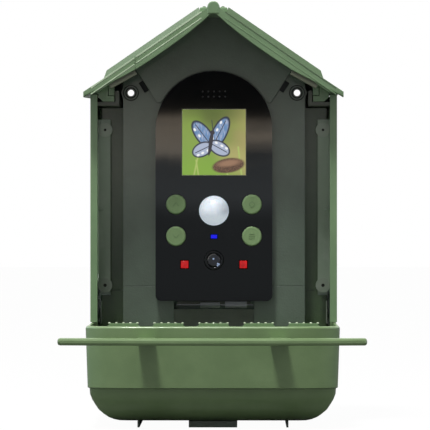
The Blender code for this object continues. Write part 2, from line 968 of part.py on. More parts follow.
def build_window(side, name):
    rear = rear_inner_depth - fit_gap
    pane = block(
        name, span(side, pane_inner, pane_outer), (at(pane_front_depth), at(rear)), (pane_bottom, pane_top),
        "clear_plastic",
    )
    strip_rear = pane_front_depth + strip_thickness
    strip = block(
        f"strip {side}", span(side, pane_outer - strip_width, pane_outer - weld_lap),
        (at(pane_front_depth), at(strip_rear)), (strip_bottom, pane_top),
    )
    weld(pane, strip)
    tools = []
    for z in window_screw_heights:
        eyelet = rod(
            f"eyelet {side} {z:.3f}", (side * window_screw_half, z), eyelet_radius, "Y",
            at(strip_rear - eyelet_thickness), at(strip_rear), segments=round_segments,
        )
        weld(pane, eyelet)
        tools.append(
            rod(
                f"eyelet sink {side} {z:.3f}", (side * window_screw_half, z), eyelet_hole_radius, "Y",
                at(strip_rear - eyelet_thickness - cut_over), at(
                    window_head_depth() + small_head_height + fit_gap / 2,
                ),
            )
        )
        tools.append(window_pilot(side, z, "eyelet pilot"))
    return smooth(cut(pane, *tools))


# A pan-head screw along Y with a round drive recess. Its head faces the front, or the rear when turned round.
def screw(name, x, z, head_depth, facing, shank, head, head_height, length):
    profile = [
        (0, drive_depth),
        (drive_radius, drive_depth),
        (drive_radius, 0),
        (head * head_top_share, 0),
        (head, head_height * head_shoulder_share),
        (head, head_height),
        (shank, head_height),
        (shank, length),
        (0, length),
    ]
    return smooth(
        turned(
            name, [(r, at(head_depth) + facing * along) for r, along in profile], (x, z), "Y", "steel", small_segments
        )
    )


def build_screws():
    number = 0
    for side in (-1, 1):
        for z in window_screw_heights:
            number += 1
            screw(
                f"window_screw_{number}", side * window_screw_half, z, window_head_depth(), 1,
                small_shank_radius, small_head_radius, small_head_height, small_screw_length - pilot_extra,
            )
    for number, (x, z) in enumerate(case_screw_places(), 1):
        screw(
            f"case_screw_{number}", x, z, body_depth - fit_gap / 2, -1,
            case_shank_radius, case_head_radius, case_head_height - fit_gap / 2, case_screw_length,
        )
    number = 0
    for side in (-1, 1):
        for z in ear_heights:
            number += 1
            head_rear = ear_front_depth() + ear_thickness + fit_gap + small_head_height
            screw(
                f"camera_screw_{number}", side * ear_screw_half(), z, head_rear, -1,
                small_shank_radius, small_head_radius, small_head_height, head_rear - ear_screw_tip(),
            )


def brim_fall(x):
    place = min(abs(x) / roof_half, 1) * brim_stations
    low = min(int(place), brim_stations - 1)
    return brim_drop * (brim_shares[low] + (brim_shares[low + 1] - brim_shares[low]) * (place - low))


def build_roof():
    stations = [roof_half * i / brim_stations for i in range(-brim_stations, brim_stations + 1)]
    section = [(x, roof_top(x)) for x in stations] + [(x, roof_under(x)) for x in reversed(stations)]
    rings = [[(x, at(body_depth), z) for x, z in section]]
    for along, fall in brim_step_shares:
        depth = brim_length - roof_overhang - brim_length * along
        ring = [(x, at(depth), roof_top(x) - fall * brim_top_share * brim_fall(x)) for x in stations]
        ring += [(x, at(depth), roof_under(x) - fall * brim_fall(x)) for x in reversed(stations)]
        rings.append(ring)
    roof = loft("roof", rings, "house_green", thin=True)
    bead_outline = arc(0, ridge_height - bead_radius + bead_rise, bead_radius, 0, 180, bead_steps)
    bead_outline += [(x, roof_top(x) - sheet_drop / 2) for x in (-bead_radius, 0, bead_radius)]
    bead = prism(
        "ridge bead", bead_outline, "Y", at(-roof_overhang + bead_setback), at(body_depth - bead_setback)
    )
    pieces = [bead]
    for side in (-1, 1):
        centre = (side * rib_offset, roof_top(rib_offset) + rib_rise)
        pieces.append(
            rod(f"ridge rib {side}", centre, rib_radius, "Y", at(0), at(body_depth - panel_rear_margin))
        )
        pieces.append(raised_panel(side))
        pieces.append(roof_rail(side))
    weld(roof, *pieces)
    return set_origin(smooth(roof, roof_sharp_angle), (0, at(0), ridge_height))


# The moulded raised panel on one roof slope, with bevelled sides all round.
def raised_panel(side):
    lift = panel_rise / math.cos(roof_angle)
    rings = []
    for bevel, rise in ((0, -sheet_drop / 2), (panel_bevel, lift)):
        inner = panel_inner + bevel * panel_bevel_inner_share
        outer = panel_outer - bevel * panel_bevel_outer_share
        front = -roof_overhang + brim_length + bevel - panel_bevel
        rear = body_depth - panel_rear_margin - bevel
        corners = ((inner, front), (outer, front), (outer, rear), (inner, rear))
        rings.append([(side * x, at(d), roof_top(x) + rise) for x, d in corners])
    return loft(f"raised panel {side}", rings)


def roof_rail(side):
    foot = channel_floor_height + channel_thickness + fit_gap
    outline = [
        (rail_foot_inner, foot),
        (rail_leg_outer - rail_chamfer, foot),
        (rail_leg_outer, foot + rail_chamfer),
        (rail_leg_outer, roof_under(rail_leg_outer) + sheet_drop / 2),
        (rail_leg_inner, roof_under(rail_leg_inner) + sheet_drop / 2),
        (rail_leg_inner, foot + rail_foot_height),
        (rail_foot_inner, foot + rail_foot_height),
    ]
    return prism(
        f"roof rail {side}", mirrored_pair(outline, side), "Y",
        at(channel_start_depth), at(rear_inner_depth - 2 * fit_gap),
    )


# Half of the belly's curve: how far the wall has drawn in at a height, for a floor at a given height.
def belly_inset(z, floor, step):
    share = (step - z) / (step - floor)
    return tray_belly * (1 - math.sqrt(max(0, 1 - share * share)))


# A front corner is a quarter of an oval, long across and short along, so that the front looks bowed.
def tray_corner(x, depth, across, along, start):
    points = []
    for i in range(tray_corner_steps + 1):
        turn = math.radians(start + 90 * i / tray_corner_steps)
        points.append((x + across * math.cos(turn), depth + along * math.sin(turn)))
    return points


def tray_ring(inset, z, rear, setback=0):
    half = tray_half - inset
    front = tray_front_depth - inset - setback
    along = max(tray_corner_along - inset, tray_wall / 2)
    across = max(tray_corner_across - inset, along)
    outline = (
        tray_corner(-half + across, -front + along, across, along, 180)
        + tray_corner(half - across, -front + along, across, along, 270)
        + [(half, rear), (-half, rear)]
    )
    return [(x, at(d), z) for x, d in outline]


# The inner surface steps back higher up than the outer one, so the wall stays thick at the step.
def tray_shell(name, offset, floor, top, rear, finish=None):
    step = tray_step_height + offset
    rings = []
    for i in range(tray_curve_steps + 1):
        turn = math.pi / 2 * (1 - i / tray_curve_steps)
        z = step - (step - floor) * math.sin(turn)
        inset = tray_taper + tray_step_inset + offset + belly_inset(z, floor, step)
        rings.append(tray_ring(inset, z, rear, tray_front_setback))
    rings.append(tray_ring(tray_taper + offset, step + tray_step_rise, rear))
    rings.append(tray_ring(offset, top, rear))
    return loft(name, rings, finish)


def build_tray():
    tray = tray_shell("tray", 0, tray_bottom, tray_rim_height, tray_rear_depth, "house_green")
    cavity = tray_shell(
        "tray cavity", tray_wall, tray_bottom + tray_wall, tray_rim_height + cut_over, tray_rear_depth - tray_wall
    )
    gate = block(
        "tray rear gate", (-tray_half + tray_wall + tray_taper, tray_half - tray_wall - tray_taper),
        (at(tray_rear_depth - tray_wall - cut_over), at(tray_rear_depth + cut_over)),
        (tray_rear_wall_top, tray_rim_height + cut_over),
    )
    tools = [cavity, gate]
    for side in (-1, 1):
        tools.append(
            rod(
                f"perch hole {side}", (side * perch_arm_half, perch_height), perch_screw_shank + 2 * shank_clearance,
                "Y", at(-tray_front_depth - cut_over), at(-tray_front_depth + tray_wall + cut_over),
            )
        )
    return set_origin(smooth(cut(tray, *tools), 30), (0, at(-tray_front_depth), tray_bottom))


def build_tray_liner():
    floor = tray_bottom + tray_wall
    low = floor + liner_lift
    high = low + liner_thickness
    belly = belly_inset(low, floor, tray_step_height + tray_wall)
    inset = tray_taper + tray_step_inset + tray_wall + belly + liner_clearance
    rear = liner_rear_depth
    liner = loft(
        "tray_liner", [tray_ring(inset, z, rear, tray_front_setback) for z in (low, high)], "trim_green"
    )
    half = comb_half
    foot = high - liner_thickness / 2
    comb = prism(
        "comb",
        [
            (-comb_foot_half, foot), (comb_foot_half, foot), (half, foot + comb_foot_rise),
            (half, comb_top - comb_round), (half - comb_round, comb_top), (-half + comb_round, comb_top),
            (-half, comb_top - comb_round), (-half, foot + comb_foot_rise),
        ],
        "Y", at(-comb_depth - comb_thickness / 2), at(-comb_depth + comb_thickness / 2),
    )
    weld(liner, comb)
    tools = []
    slot_half = (comb_pitch - comb_tab_width) / 2
    for i in range(comb_tabs - 1):
        x = (i - (comb_tabs - 2) / 2) * comb_pitch
        outline = [
            (x - slot_half, comb_slot_bottom), (x + slot_half, comb_slot_bottom),
            (x + slot_half, comb_top - comb_round), (x + slot_half + comb_round, comb_top + fit_gap),
            (x - slot_half - comb_round, comb_top + fit_gap), (x - slot_half, comb_top - comb_round),
        ]
        tools.append(
            prism(f"comb slot {i}", outline, "Y", at(-comb_depth - cut_over), at(-comb_depth + cut_over))
        )
    centre = -(tray_front_depth - inset - tray_front_setback) / 2 - comb_depth / 2
    for column in range(drain_columns):
        for row in range(drain_rows):
            x = (column - (drain_columns - 1) / 2) * drain_pitch_x
            depth = centre + (row - (drain_rows - 1) / 2) * drain_pitch_y
            tools.append(
                rod(
                    f"drain {column} {row}", (x, at(depth)), drain_radius, "Z", low - cut_over,
                    high + cut_over, segments=drain_sides,
                )
            )
    return cut(liner, *tools)


def perch_front(x):
    share = x / (perch_length / 2)
    return -perch_reach + perch_bow * share * share


def build_perch():
    half = perch_length / 2
    places = [half * (2 * i / perch_bow_steps - 1) for i in range(perch_bow_steps + 1)]
    outline = [(x, at(perch_front(x))) for x in places]
    outline += [(x, at(perch_front(x) + perch_bar_depth)) for x in reversed(places)]
    bar_low = perch_height - perch_thickness / 2
    perch = prism("perch", outline, "Z", bar_low, bar_low + perch_thickness, "house_green")
    rounding = perch.modifiers.new("rounding", "BEVEL")
    rounding.width = perch_round
    rounding.segments = 2
    rounding.limit_method = "ANGLE"
    rounding.angle_limit = math.radians(40)
    arm_low = perch_height - perch_arm_thickness / 2
    tools = []
    for side in (-1, 1):
        root = perch_front(perch_arm_half) + perch_bar_depth / 2
        arm = block(
            f"perch arm {side}",
            span(side, perch_arm_half - perch_arm_width / 2, perch_arm_half + perch_arm_width / 2),
            (at(root), at(-tray_front_depth - fit_gap)), (arm_low, arm_low + perch_arm_thickness),
        )
        weld(perch, arm)
        tip = perch_screw_head_depth() - perch_screw_length - pilot_extra
        tools.append(
            rod(
                f"perch pilot {side}", (side * perch_arm_half, perch_height), perch_screw_shank + shank_clearance,
                "Y", at(tip), at(-tray_front_depth + cut_over),
            )
        )
        screw_name = "perch_screw_left" if side < 0 else "perch_screw_right"
        screw(
            screw_name, side * perch_arm_half, perch_height, perch_screw_head_depth(), -1,
            perch_screw_shank, perch_screw_head, perch_screw_head_height, perch_screw_length,
        )
    return cut(perch, *tools)


# The head sits inside the tray, clear of the front wall, which leans in by the taper.
def perch_screw_head_depth():
    return -tray_front_depth + tray_wall + tray_taper + fit_gap + perch_screw_head_height


def build_camera_box():
    outline = arch_outline(box_half, box_bottom, face_corner_radius - box_inset / 2)
    box = prism("camera_box", outline, "Y", at(box_front_depth), at(box_rear_depth), "black_plastic")
    chin = block(
        "chin", (-chin_width / 2, chin_width / 2), (at(box_front_depth), at(chin_rear_depth)),
        (chin_bottom, box_bottom + weld_lap),
    )
    ears = []
    for side in (-1, 1):
        for z in ear_heights:
            ears.append(
                block(
                    f"ear {side} {z:.3f}", span(side, box_half - weld_lap, ear_half + ear_reach),
                    (at(ear_front_depth()), at(ear_front_depth() + ear_thickness)),
                    (z - ear_height / 2, z + ear_height / 2),
                )
            )
    weld(box, chin, *ears)
    inner_half_width = box_half - box_wall
    hollow = prism(
        "box hollow", arch_outline(inner_half_width, box_bottom + box_wall, weld_lap),
        "Y", at(box_front_depth - cut_over), at(box_rear_depth - box_wall),
    )
    cut(box, hollow)
    for side in (-1, 1):
        for z in standoff_heights:
            weld(
                box,
                rod(
                    f"standoff {side} {z:.3f}", (side * standoff_half, z), standoff_radius, "Y",
                    at(board_rear_depth + fit_gap), at(box_rear_depth - box_wall / 2),
                ),
            )
    tools = []
    for side in (-1, 1):
        for z in ear_heights:
            tools.append(
                rod(
                    f"ear hole {side} {z:.3f}", (side * ear_screw_half(), z), small_shank_radius + shank_clearance,
                    "Y", at(panel_depth), at(ear_front_depth() + ear_thickness + cut_over),
                )
            )
    for name, left, width, _ in covers():
        tools.append(
            block(
                f"{name} port", (left + port_margin, left + width - port_margin),
                (at(box_front_depth + port_setback), at(box_front_depth + port_setback + port_depth)),
                (chin_bottom - cut_over, box_bottom + box_wall + weld_lap),
            )
        )
    return smooth(cut(box, *tools))


def covers():
    return (
        ("usb_cover", usb_cover_left, usb_cover_width, usb_cover_top),
        ("card_cover", card_cover_left, card_cover_width, card_cover_top),
    )


# Each port cover is an L of rubber: a flap under the chin, hinged at its rear edge, and a lip up its front.
def build_port_covers():
    for name, left, width, top in covers():
        high = chin_bottom - fit_gap
        low = high - cover_thickness
        front = box_front_depth - fit_gap - cover_lip
        outline = [
            (at(front), low),
            (at(front + cover_reach), low),
            (at(front + cover_reach), high),
            (at(front + cover_lip), high),
            (at(front + cover_lip), top),
            (at(front), top),
        ]
        cover = prism(name, outline, "X", left, left + width, "grey_rubber")
        set_origin(cover, (left + width / 2, at(front + cover_reach), high))


def build_faceplate():
    rear = face_depth + face_thickness
    plate = prism(
        "faceplate", arch_outline(face_half, face_bottom, face_corner_radius), "Y", at(face_depth), at(rear), "gloss_black"
    )
    through = (at(face_depth - cut_over), at(rear + cut_over))
    tools = [
        block(
            "lcd opening", (-lcd_width / 2, lcd_width / 2), through,
            (lcd_centre_height - lcd_height / 2, lcd_centre_height + lcd_height / 2),
        ),
        rod("pir opening", (0, pir_height), pir_radius + fit_gap, "Y", *through, segments=round_segments),
        rod("lens opening", (0, lens_height), lens_radius + fit_gap, "Y", *through, segments=round_segments),
        block(
            "status opening", (-status_width / 2 - fit_gap, status_width / 2 + fit_gap), through,
            (
                status_centre_height - status_height / 2 - fit_gap,
                status_centre_height + status_height / 2 + fit_gap,
            ),
        ),
    ]
    for side in (-1, 1):
        tools.append(
            block(
                f"infra-red opening {side}", span(
                    side, ir_half - ir_size / 2 - fit_gap, ir_half + ir_size / 2 + fit_gap,
                ),
                through, (ir_height - ir_size / 2 - fit_gap, ir_height + ir_size / 2 + fit_gap),
            )
        )
        for z in button_heights:
            tools.append(
                rod(
                    f"button opening {side} {z:.3f}", (side * button_half, z), button_radius + fit_gap, "Y",
                    *through, segments=round_segments,
                )
            )
    for column in range(sound_hole_columns):
        for z in sound_hole_heights:
            x = (column - (sound_hole_columns - 1) / 2) * sound_hole_pitch
            tools.append(rod(f"sound hole {column} {z:.4f}", (x, z), sound_hole_radius, "Y", *through, segments=sound_hole_sides))
    smooth(cut(plate, *tools))
    gasket = prism(
        "face_gasket", arch_outline(face_half - fit_gap, face_bottom + fit_gap, face_corner_radius - fit_gap), "Y",
        at(rear + fit_gap), at(panel_depth - fit_gap), "black_rubber",
    )
    gasket_inner = prism(
        "gasket opening", arch_outline(face_half - fit_gap - gasket_width, box_bottom - fit_gap, weld_lap),
        "Y", at(rear - cut_over), at(panel_depth + cut_over),
    )
    chin_notch = block(
        "gasket chin notch", (-chin_width / 2 - fit_gap, chin_width / 2 + fit_gap),
        (at(rear - cut_over), at(panel_depth + cut_over)), (chin_bottom - cut_over, box_bottom),
    )
    cut(gasket, gasket_inner, chin_notch)


def build_screen():
    half_w = lcd_width / 2
    half_h = lcd_height / 2
    front = face_depth + lcd_window_inset
    block(
        "lcd_window", (-half_w + fit_gap, half_w - fit_gap), (at(front), at(front + lcd_window_thickness)),
        (lcd_centre_height - half_h + fit_gap, lcd_centre_height + half_h - fit_gap), "screen_glass",
    )
    rear = face_depth + face_thickness + fit_gap
    half_w += lcd_panel_margin
    half_h += lcd_panel_margin
    panel = block(
        "lcd_panel", (-half_w, half_w), (at(rear), at(rear + lcd_panel_thickness)),
        (lcd_centre_height - half_h, lcd_centre_height + half_h), "steel",
    )
    stand = block(
        "lcd stand", (-half_w / 2, half_w / 2), (
            at(rear + lcd_panel_thickness - weld_lap), at(board_depth - fit_gap),
        ),
        (lcd_centre_height - half_h / 2, lcd_centre_height + half_h / 2),
    )
    weld(panel, stand)
    block(
        "main_board", (-board_half, board_half), (at(board_depth), at(board_rear_depth)), (
            board_bottom, board_top,
        ),
        "circuit_green",
    )


def build_sound_and_sensors():
    rear = face_depth + face_thickness + fit_gap
    speaker_z = sum(sound_hole_heights) / len(sound_hole_heights)
    rod(
        "speaker", (0, speaker_z), speaker_radius, "Y", at(rear), at(rear + speaker_thickness), "black_plastic",
        round_segments,
    )
    dome = []
    inside = []
    for i in range(pir_steps + 1):
        turn = math.pi / 2 * i / pir_steps
        dome.append((pir_radius * math.sin(turn), at(face_depth - pir_dome_rise * math.cos(turn))))
        inside.append(
            (
                (pir_radius - pir_shell) * math.sin(turn),
                at(face_depth - (pir_dome_rise - pir_shell) * math.cos(turn)),
            )
        )
    seat = at(rear)
    profile = dome + [
        (pir_radius, seat), (pir_radius + pir_flange, seat), (pir_radius + pir_flange, seat + pir_flange),
    ]
    profile += [(pir_radius - pir_shell, seat + pir_flange)] + list(reversed(inside))
    smooth(turned("pir_lens", profile, (0, pir_height), "Y", "white_dome"))
    front = board_depth - fit_gap
    rod(
        "pir_sensor", (0, pir_height), sensor_radius, "Y", at(front - sensor_length), at(front), "steel",
        round_segments,
    )
    block(
        "status_light", (-status_width / 2, status_width / 2), (at(face_depth + lcd_window_inset), at(front)),
        (status_centre_height - status_height / 2, status_centre_height + status_height / 2), "status_blue",
    )
    for side, name in ((-1, "ir_light_left"), (1, "ir_light_right")):
        block(
            name, span(side, ir_half - ir_size / 2, ir_half + ir_size / 2), (
                at(face_depth + lcd_window_inset), at(front),
            ),
            (ir_height - ir_size / 2, ir_height + ir_size / 2), "infra_red",
        )
    barrel_front = at(face_depth + lcd_window_inset)
    barrel_profile = [
        (0, barrel_front + lens_bore_depth), (lens_bore_radius, barrel_front + lens_bore_depth),
        (lens_bore_radius, barrel_front), (lens_radius, barrel_front), (lens_radius, at(front)), (
            0, at(front),
        ),
    ]
    smooth(turned("lens_barrel", barrel_profile, (0, lens_height), "Y", "black_plastic"))
    glass_rear = barrel_front + lens_bore_depth - fit_gap
    glass = [(0, glass_rear), (lens_glass_radius, glass_rear)]
    for i in range(pir_steps):
        turn = math.pi / 2 * i / (pir_steps - 1)
        glass.append(
            (
                lens_glass_radius * math.cos(turn),
                glass_rear - lens_glass_edge - lens_glass_rise * math.sin(turn),
            )
        )
    smooth(turned("lens_glass", glass, (0, lens_height), "Y", "lens_glass"))


def build_buttons():
    names = (
        ("button_up", -1, 0), ("button_ok", 1, 0), ("button_down", -1, 1), ("button_menu", 1, 1),
    )
    cap_front = at(face_depth - button_proud)
    flange_front = at(face_depth + face_thickness + fit_gap)
    flange_rear = flange_front + button_flange_thickness
    stem_rear = flange_rear + button_stem_length
    switch_front = stem_rear + button_travel + fit_gap
    for name, side, row in names:
        centre = (side * button_half, button_heights[row])
        profile = [
            (0, cap_front), (button_radius - button_proud / 2, cap_front), (
                button_radius, cap_front + button_proud / 2,
            ),
            (button_radius, flange_front), (button_radius + button_flange, flange_front),
            (button_radius + button_flange, flange_rear), (button_stem_radius, flange_rear),
            (button_stem_radius, stem_rear), (0, stem_rear),
        ]
        button = smooth(turned(name, profile, centre, "Y", "trim_green"))
        set_origin(button, (centre[0], cap_front, centre[1]))
        half = switch_size / 2
        body_rear = at(board_depth - fit_gap)
        switch = block(
            f"switch_{name[7:]}", (centre[0] - half, centre[0] + half), (
                body_rear - switch_height, body_rear,
            ),
            (centre[1] - half, centre[1] + half), "black_plastic",
        )
        plunger = rod(
            f"plunger {name}", centre, switch_plunger_radius, "Y", switch_front, body_rear - switch_height + weld_lap
        )
        weld(switch, plunger)


def build_battery():
    front = board_rear_depth + fit_gap
    rear = front + holder_plate
    cell_top = cell_bottom + cell_length
    cap_top = cell_top + cell_cap_height
    holder_low = cell_bottom - fit_gap - holder_end
    holder_high = cap_top + fit_gap + holder_end
    outline = [
        (at(front), holder_low), (at(rear + holder_wrap), holder_low), (
            at(rear + holder_wrap), holder_low + holder_end,
        ),
        (at(rear), holder_low + holder_end), (at(rear), holder_high - holder_end),
        (at(rear + holder_wrap), holder_high - holder_end), (at(rear + holder_wrap), holder_high), (
            at(front), holder_high,
        ),
    ]
    prism("battery_holder", outline, "X", -holder_half, holder_half, "black_plastic")
    profile = [
        (0, cell_bottom), (cell_radius, cell_bottom), (cell_radius, cell_top), (cell_cap_radius, cell_top),
        (cell_cap_radius, cap_top), (0, cap_top),
    ]
    for side, name in ((-1, "battery_cell_left"), (1, "battery_cell_right")):
        smooth(turned(name, profile, (side * cell_half, at(cell_centre_depth)), "Z", "cell_wrap"))


def clear_scene():
    for obj in list(bpy.data.objects):
        bpy.data.objects.remove(obj)


def main():
    clear_scene()
    build_rear_wall()
    build_side_wall(-1, "side_wall_left")
    build_side_wall(1, "side_wall_right")
    build_base()
    build_front_panel()
    build_gable_cover()
    build_lower_front()
    build_hopper_floor()
    build_window(-1, "window_left")
    build_window(1, "window_right")
    build_screws()
    build_roof()
    build_tray()
    build_tray_liner()
    build_perch()
    build_camera_box()
    build_port_covers()
    build_faceplate()
    build_screen()
    build_sound_and_sensors()
    build_buttons()
    build_battery()


main()
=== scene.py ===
# Smart bird feeder with a camera unit, a sliding tray and a sliding roof.
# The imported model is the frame; finer pieces and finishes are put on it here.
import json
import math

import bmesh
import bpy
from mathutils import Matrix, Vector


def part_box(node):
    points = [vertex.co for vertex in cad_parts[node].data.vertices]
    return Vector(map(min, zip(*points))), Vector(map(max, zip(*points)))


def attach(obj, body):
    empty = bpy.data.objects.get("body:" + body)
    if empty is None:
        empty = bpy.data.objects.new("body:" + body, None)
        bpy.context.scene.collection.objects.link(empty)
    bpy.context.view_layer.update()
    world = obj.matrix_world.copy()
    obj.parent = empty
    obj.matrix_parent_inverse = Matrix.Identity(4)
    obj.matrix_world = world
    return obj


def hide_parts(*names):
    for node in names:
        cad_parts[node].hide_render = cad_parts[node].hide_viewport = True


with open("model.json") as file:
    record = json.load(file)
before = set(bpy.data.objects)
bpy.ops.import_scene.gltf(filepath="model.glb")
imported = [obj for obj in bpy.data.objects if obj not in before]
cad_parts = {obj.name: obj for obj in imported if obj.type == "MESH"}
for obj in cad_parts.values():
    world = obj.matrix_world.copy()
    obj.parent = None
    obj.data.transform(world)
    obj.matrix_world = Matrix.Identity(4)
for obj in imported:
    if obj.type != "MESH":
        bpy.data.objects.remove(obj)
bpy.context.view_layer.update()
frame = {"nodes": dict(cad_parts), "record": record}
bodyOf = {name: body for body, members in frame["record"]["behaviour"]["bodies"].items() for name in members}
mm = 0.001
frontPlane = 5.0  # place of the side walls' front plane on the y axis, in mm
print("frame loaded:", len(frame["nodes"]), "nodes")


def clearSelection():
    if bpy.context.mode != "OBJECT":
        bpy.ops.object.mode_set(mode="OBJECT")
    bpy.ops.object.select_all(action="DESELECT")


def makeActive(*pieces):
    clearSelection()
    for piece in pieces:
        piece.select_set(True)
    bpy.context.view_layer.objects.active = pieces[0]


class Wire:
    # one socket of a node tree, so that sums of values read as sums
    def __init__(self, tree, socket=None):
        self.tree = tree
        self.socket = socket

    def add(self, kind, settings=None, values=None, out=0):
        node = self.tree.nodes.new(kind)
        for key, value in (settings or {}).items():
            setattr(node, key, value)
        for key, value in (values or {}).items():
            if isinstance(value, Wire):
                self.tree.links.new(value.socket, node.inputs[key])
            else:
                node.inputs[key].default_value = value
        return Wire(self.tree, node.outputs[out])

    def maths(self, operation, *others):
        values = {0: self}
        values.update({index + 1: other for index, other in enumerate(others)})
        return self.add("ShaderNodeMath", {"operation": operation}, values)

    def reflected(self, operation, other):
        return self.add("ShaderNodeMath", {"operation": operation}, {0: other, 1: self})

    def __add__(self, other):
        return self.maths("ADD", other)

    def __radd__(self, other):
        return self.reflected("ADD", other)

    def __sub__(self, other):
        return self.maths("SUBTRACT", other)

    def __rsub__(self, other):
        return self.reflected("SUBTRACT", other)

    def __mul__(self, other):
        return self.maths("MULTIPLY", other)

    # 0 where the value is at low, 1 where it is at high, smooth between
    def step(self, low, high):
        return self.add(
            "ShaderNodeMapRange",
            {"interpolation_type": "SMOOTHSTEP"},
            {"Value": self, "From Min": low, "From Max": high},
        )

    # 1 between the places where it rises and falls, both (low, high), and 0 elsewhere
    def between(self, rise, fall):
        return self.step(*rise) * (1 - self.step(*fall))

    # the first where the value is 0, the second where it is 1
    def mixed(self, first, second):
        return self.add("ShaderNodeMix", {"data_type": "RGBA"}, {0: self, 6: first, 7: second}, out=2)

    # the x, y or z of a place, as 0, 1 or 2
    def axis(self, number):
        return self.add("ShaderNodeSeparateXYZ", None, {0: self}, out=number)

    # another output of the same node
    def beside(self, out):
        return Wire(self.tree, self.socket.node.outputs[out])

    def noise(self, scale, detail=2.0, roughness=0.5):
        return self.add(
            "ShaderNodeTexNoise", None,
            {"Vector": self, "Scale": scale, "Detail": detail, "Roughness": roughness},
        )

    # noise drawn out along one way, to read as streaks
    def streaks(self, scale, detail=2.0, roughness=0.5, turn=(0, 0, 0)):
        drawn = self.add("ShaderNodeMapping", None, {"Vector": self, "Scale": scale, "Rotation": turn})
        return drawn.noise(1, detail, roughness)


def linear(code):
    # the colour of a hex code as the shader wants it
    parts = [int(code[i:i + 2], 16) / 255 for i in (0, 2, 4)]
    parts = [c / 12.92 if c <= 0.04045 else ((c + 0.055) / 1.055) ** 2.4 for c in parts]
    return (*parts, 1)


# Finishes. Each returns a finished material.
def startFinish(name):
    material = bpy.data.materials.new(name)
    material.use_nodes = True
    tree = material.node_tree
    shader = tree.nodes["Principled BSDF"]
    place = Wire(tree).add("ShaderNodeTexCoord", out=3)
    return material, shader, place


def plug(shader, **values):
    # values or wires for the shader's own sockets
    for key, value in values.items():
        socket = shader.inputs[key.replace("_", " ")]
        if isinstance(value, Wire):
            value.tree.links.new(value.socket, socket)
        else:
            socket.default_value = value


def bumpFrom(height, distance):
    return height.add("ShaderNodeBump", None, {"Height": height, "Distance": distance})


# Main colour, second colour, roughness, scale of the grain, its depth in mm, clear coat
mouldedLooks = {
    # roofPaintedShadeGreen is the house green made a little darker and greyer for the roof, whose upward
    # faces the lamp lights more: painted shade
    "roofPaintedShadeGreen": ("79966F", "728E68", 0.36, 1500, 0.05, 0.4),
    # paintedHighlightGreen is a pale green for the brim's left lines: a painted highlight
    "paintedHighlightGreen": ("C2D6B6", "B4C9A8", 0.36, 1500, 0.03, 0.5),
    # paintedShadeGreen is a darker green for the front faces of the raised roof slopes and the right brim's
    # upper line: painted shade
    "paintedShadeGreen": ("5F7656", "596F50", 0.4, 1500, 0.05, 0.3),
    "houseGreen": ("7E9C72", "75936A", 0.34, 1500, 0.05, 0.4),
    "trayGreen": ("829D6C", "789363", 0.34, 1500, 0.05, 0.5),
    "shadowGreen": ("5E6D5E", "566455", 0.5, 900, 0.16, 1.0),
    # wingPaintedShadeGreen darkens the recessed wings beside the panel: painted shade
    "wingPaintedShadeGreen": ("495F3C", "425736", 0.5, 900, 0.16, 0.7),
    # railPaintedShade is a darker, greyer green for the side walls' channels under the brim: painted shade
    "railPaintedShade": ("53564B", "4C4F44", 0.45, 1300, 0.05, 0.3),
    # boxPaintedLightGrey turns the camera box's black into grey, so its band below the plate reads lighter:
    # painted light
    "boxPaintedLightGrey": ("4A4C45", "42443E", 0.5, 1100, 0.08, 0),
    "meshGrey": ("5A5A5C", "4C4C4E", 0.6, 1800, 0.08, 0),
    # hopperFloorPaintedLight is a pale grey-green in place of the hopper floor's dark green, brightening the
    # dim inside seen through the outlet: painted light
    "hopperFloorPaintedLight": ("C6CAB6", "B8BCA8", 0.5, 900, 0.1, 0),
    # ribPaintedShade is a dark brownish green for the rib under the brim: painted shade
    "ribPaintedShade": ("5A5E4D", "535746", 0.5, 1300, 0.05, 0),
    # pipPaintedHighlight is a near-white green for the comb's pips: a painted highlight
    "pipPaintedHighlight": ("D2DEC2", "C4D2B2", 0.3, 1300, 0.03, 0.6),
    "linerGreen": ("83A174", "78966A", 0.45, 1300, 0.05, 0),
    "buttonGreen": ("8DAA77", "83A06E", 0.38, 1500, 0.03, 0),
    "markGreen": ("7C9968", "738F60", 0.42, 1500, 0.03, 0),
    "pitchBlack": ("1B1C1D", "161718", 0.50, 1100, 0.08, 0),
    "gasketBlack": ("121314", "0E0F10", 0.75, 900, 0.08, 0),
    "rubberGrey": ("86868E", "7A7A82", 0.70, 1200, 0.08, 0),
    "boardGreen": ("1E5A38", "174A2E", 0.45, 500, 0.06, 0),
    "cellWrap": ("2F5E8C", "285580", 0.30, 700, 0.03, 0),
}


# Moulded plastic: a spark-worn skin, cloudy colour, a little dust, and flow lines in the gloss
def moulded(name, main, shade, rough, grainScale, depth, coat):
    material, shader, place = startFinish(name)
    cloud = place.noise(38, 3, 0.6).step(0.3, 0.7)
    fleck = place.noise(620, 2).step(0.55, 0.75)
    colour = cloud.mixed(linear(main), linear(shade))
    colour = (fleck * 0.22).mixed(colour, linear(shade))
    grain = place.noise(grainScale, 2, 0.55)
    streak = place.streaks((30, 30, 160))
    plug(shader, Base_Color=colour, Roughness=rough - 0.05 + streak * 0.06 + grain * 0.05, IOR=1.5)
    plug(shader, Normal=bumpFrom(grain + place.noise(grainScale / 3, 1) * 0.5, depth * mm))
    plug(shader, Coat_Weight=coat, Coat_Roughness=0.14)
    return material


# Turned or pressed metal with fine scratches along its turning
def metal(name, colour, rough):
    material, shader, place = startFinish(name)
    scratch = place.streaks((900, 60, 900), 3)
    stain = place.noise(160, 3).step(0.35, 0.8)
    plug(shader, Base_Color=(stain * 0.3).mixed(linear(colour), linear("6A665E")), Metallic=1.0)
    plug(shader, Roughness=rough + scratch * 0.15, Normal=bumpFrom(scratch, 0.00003))
    return material


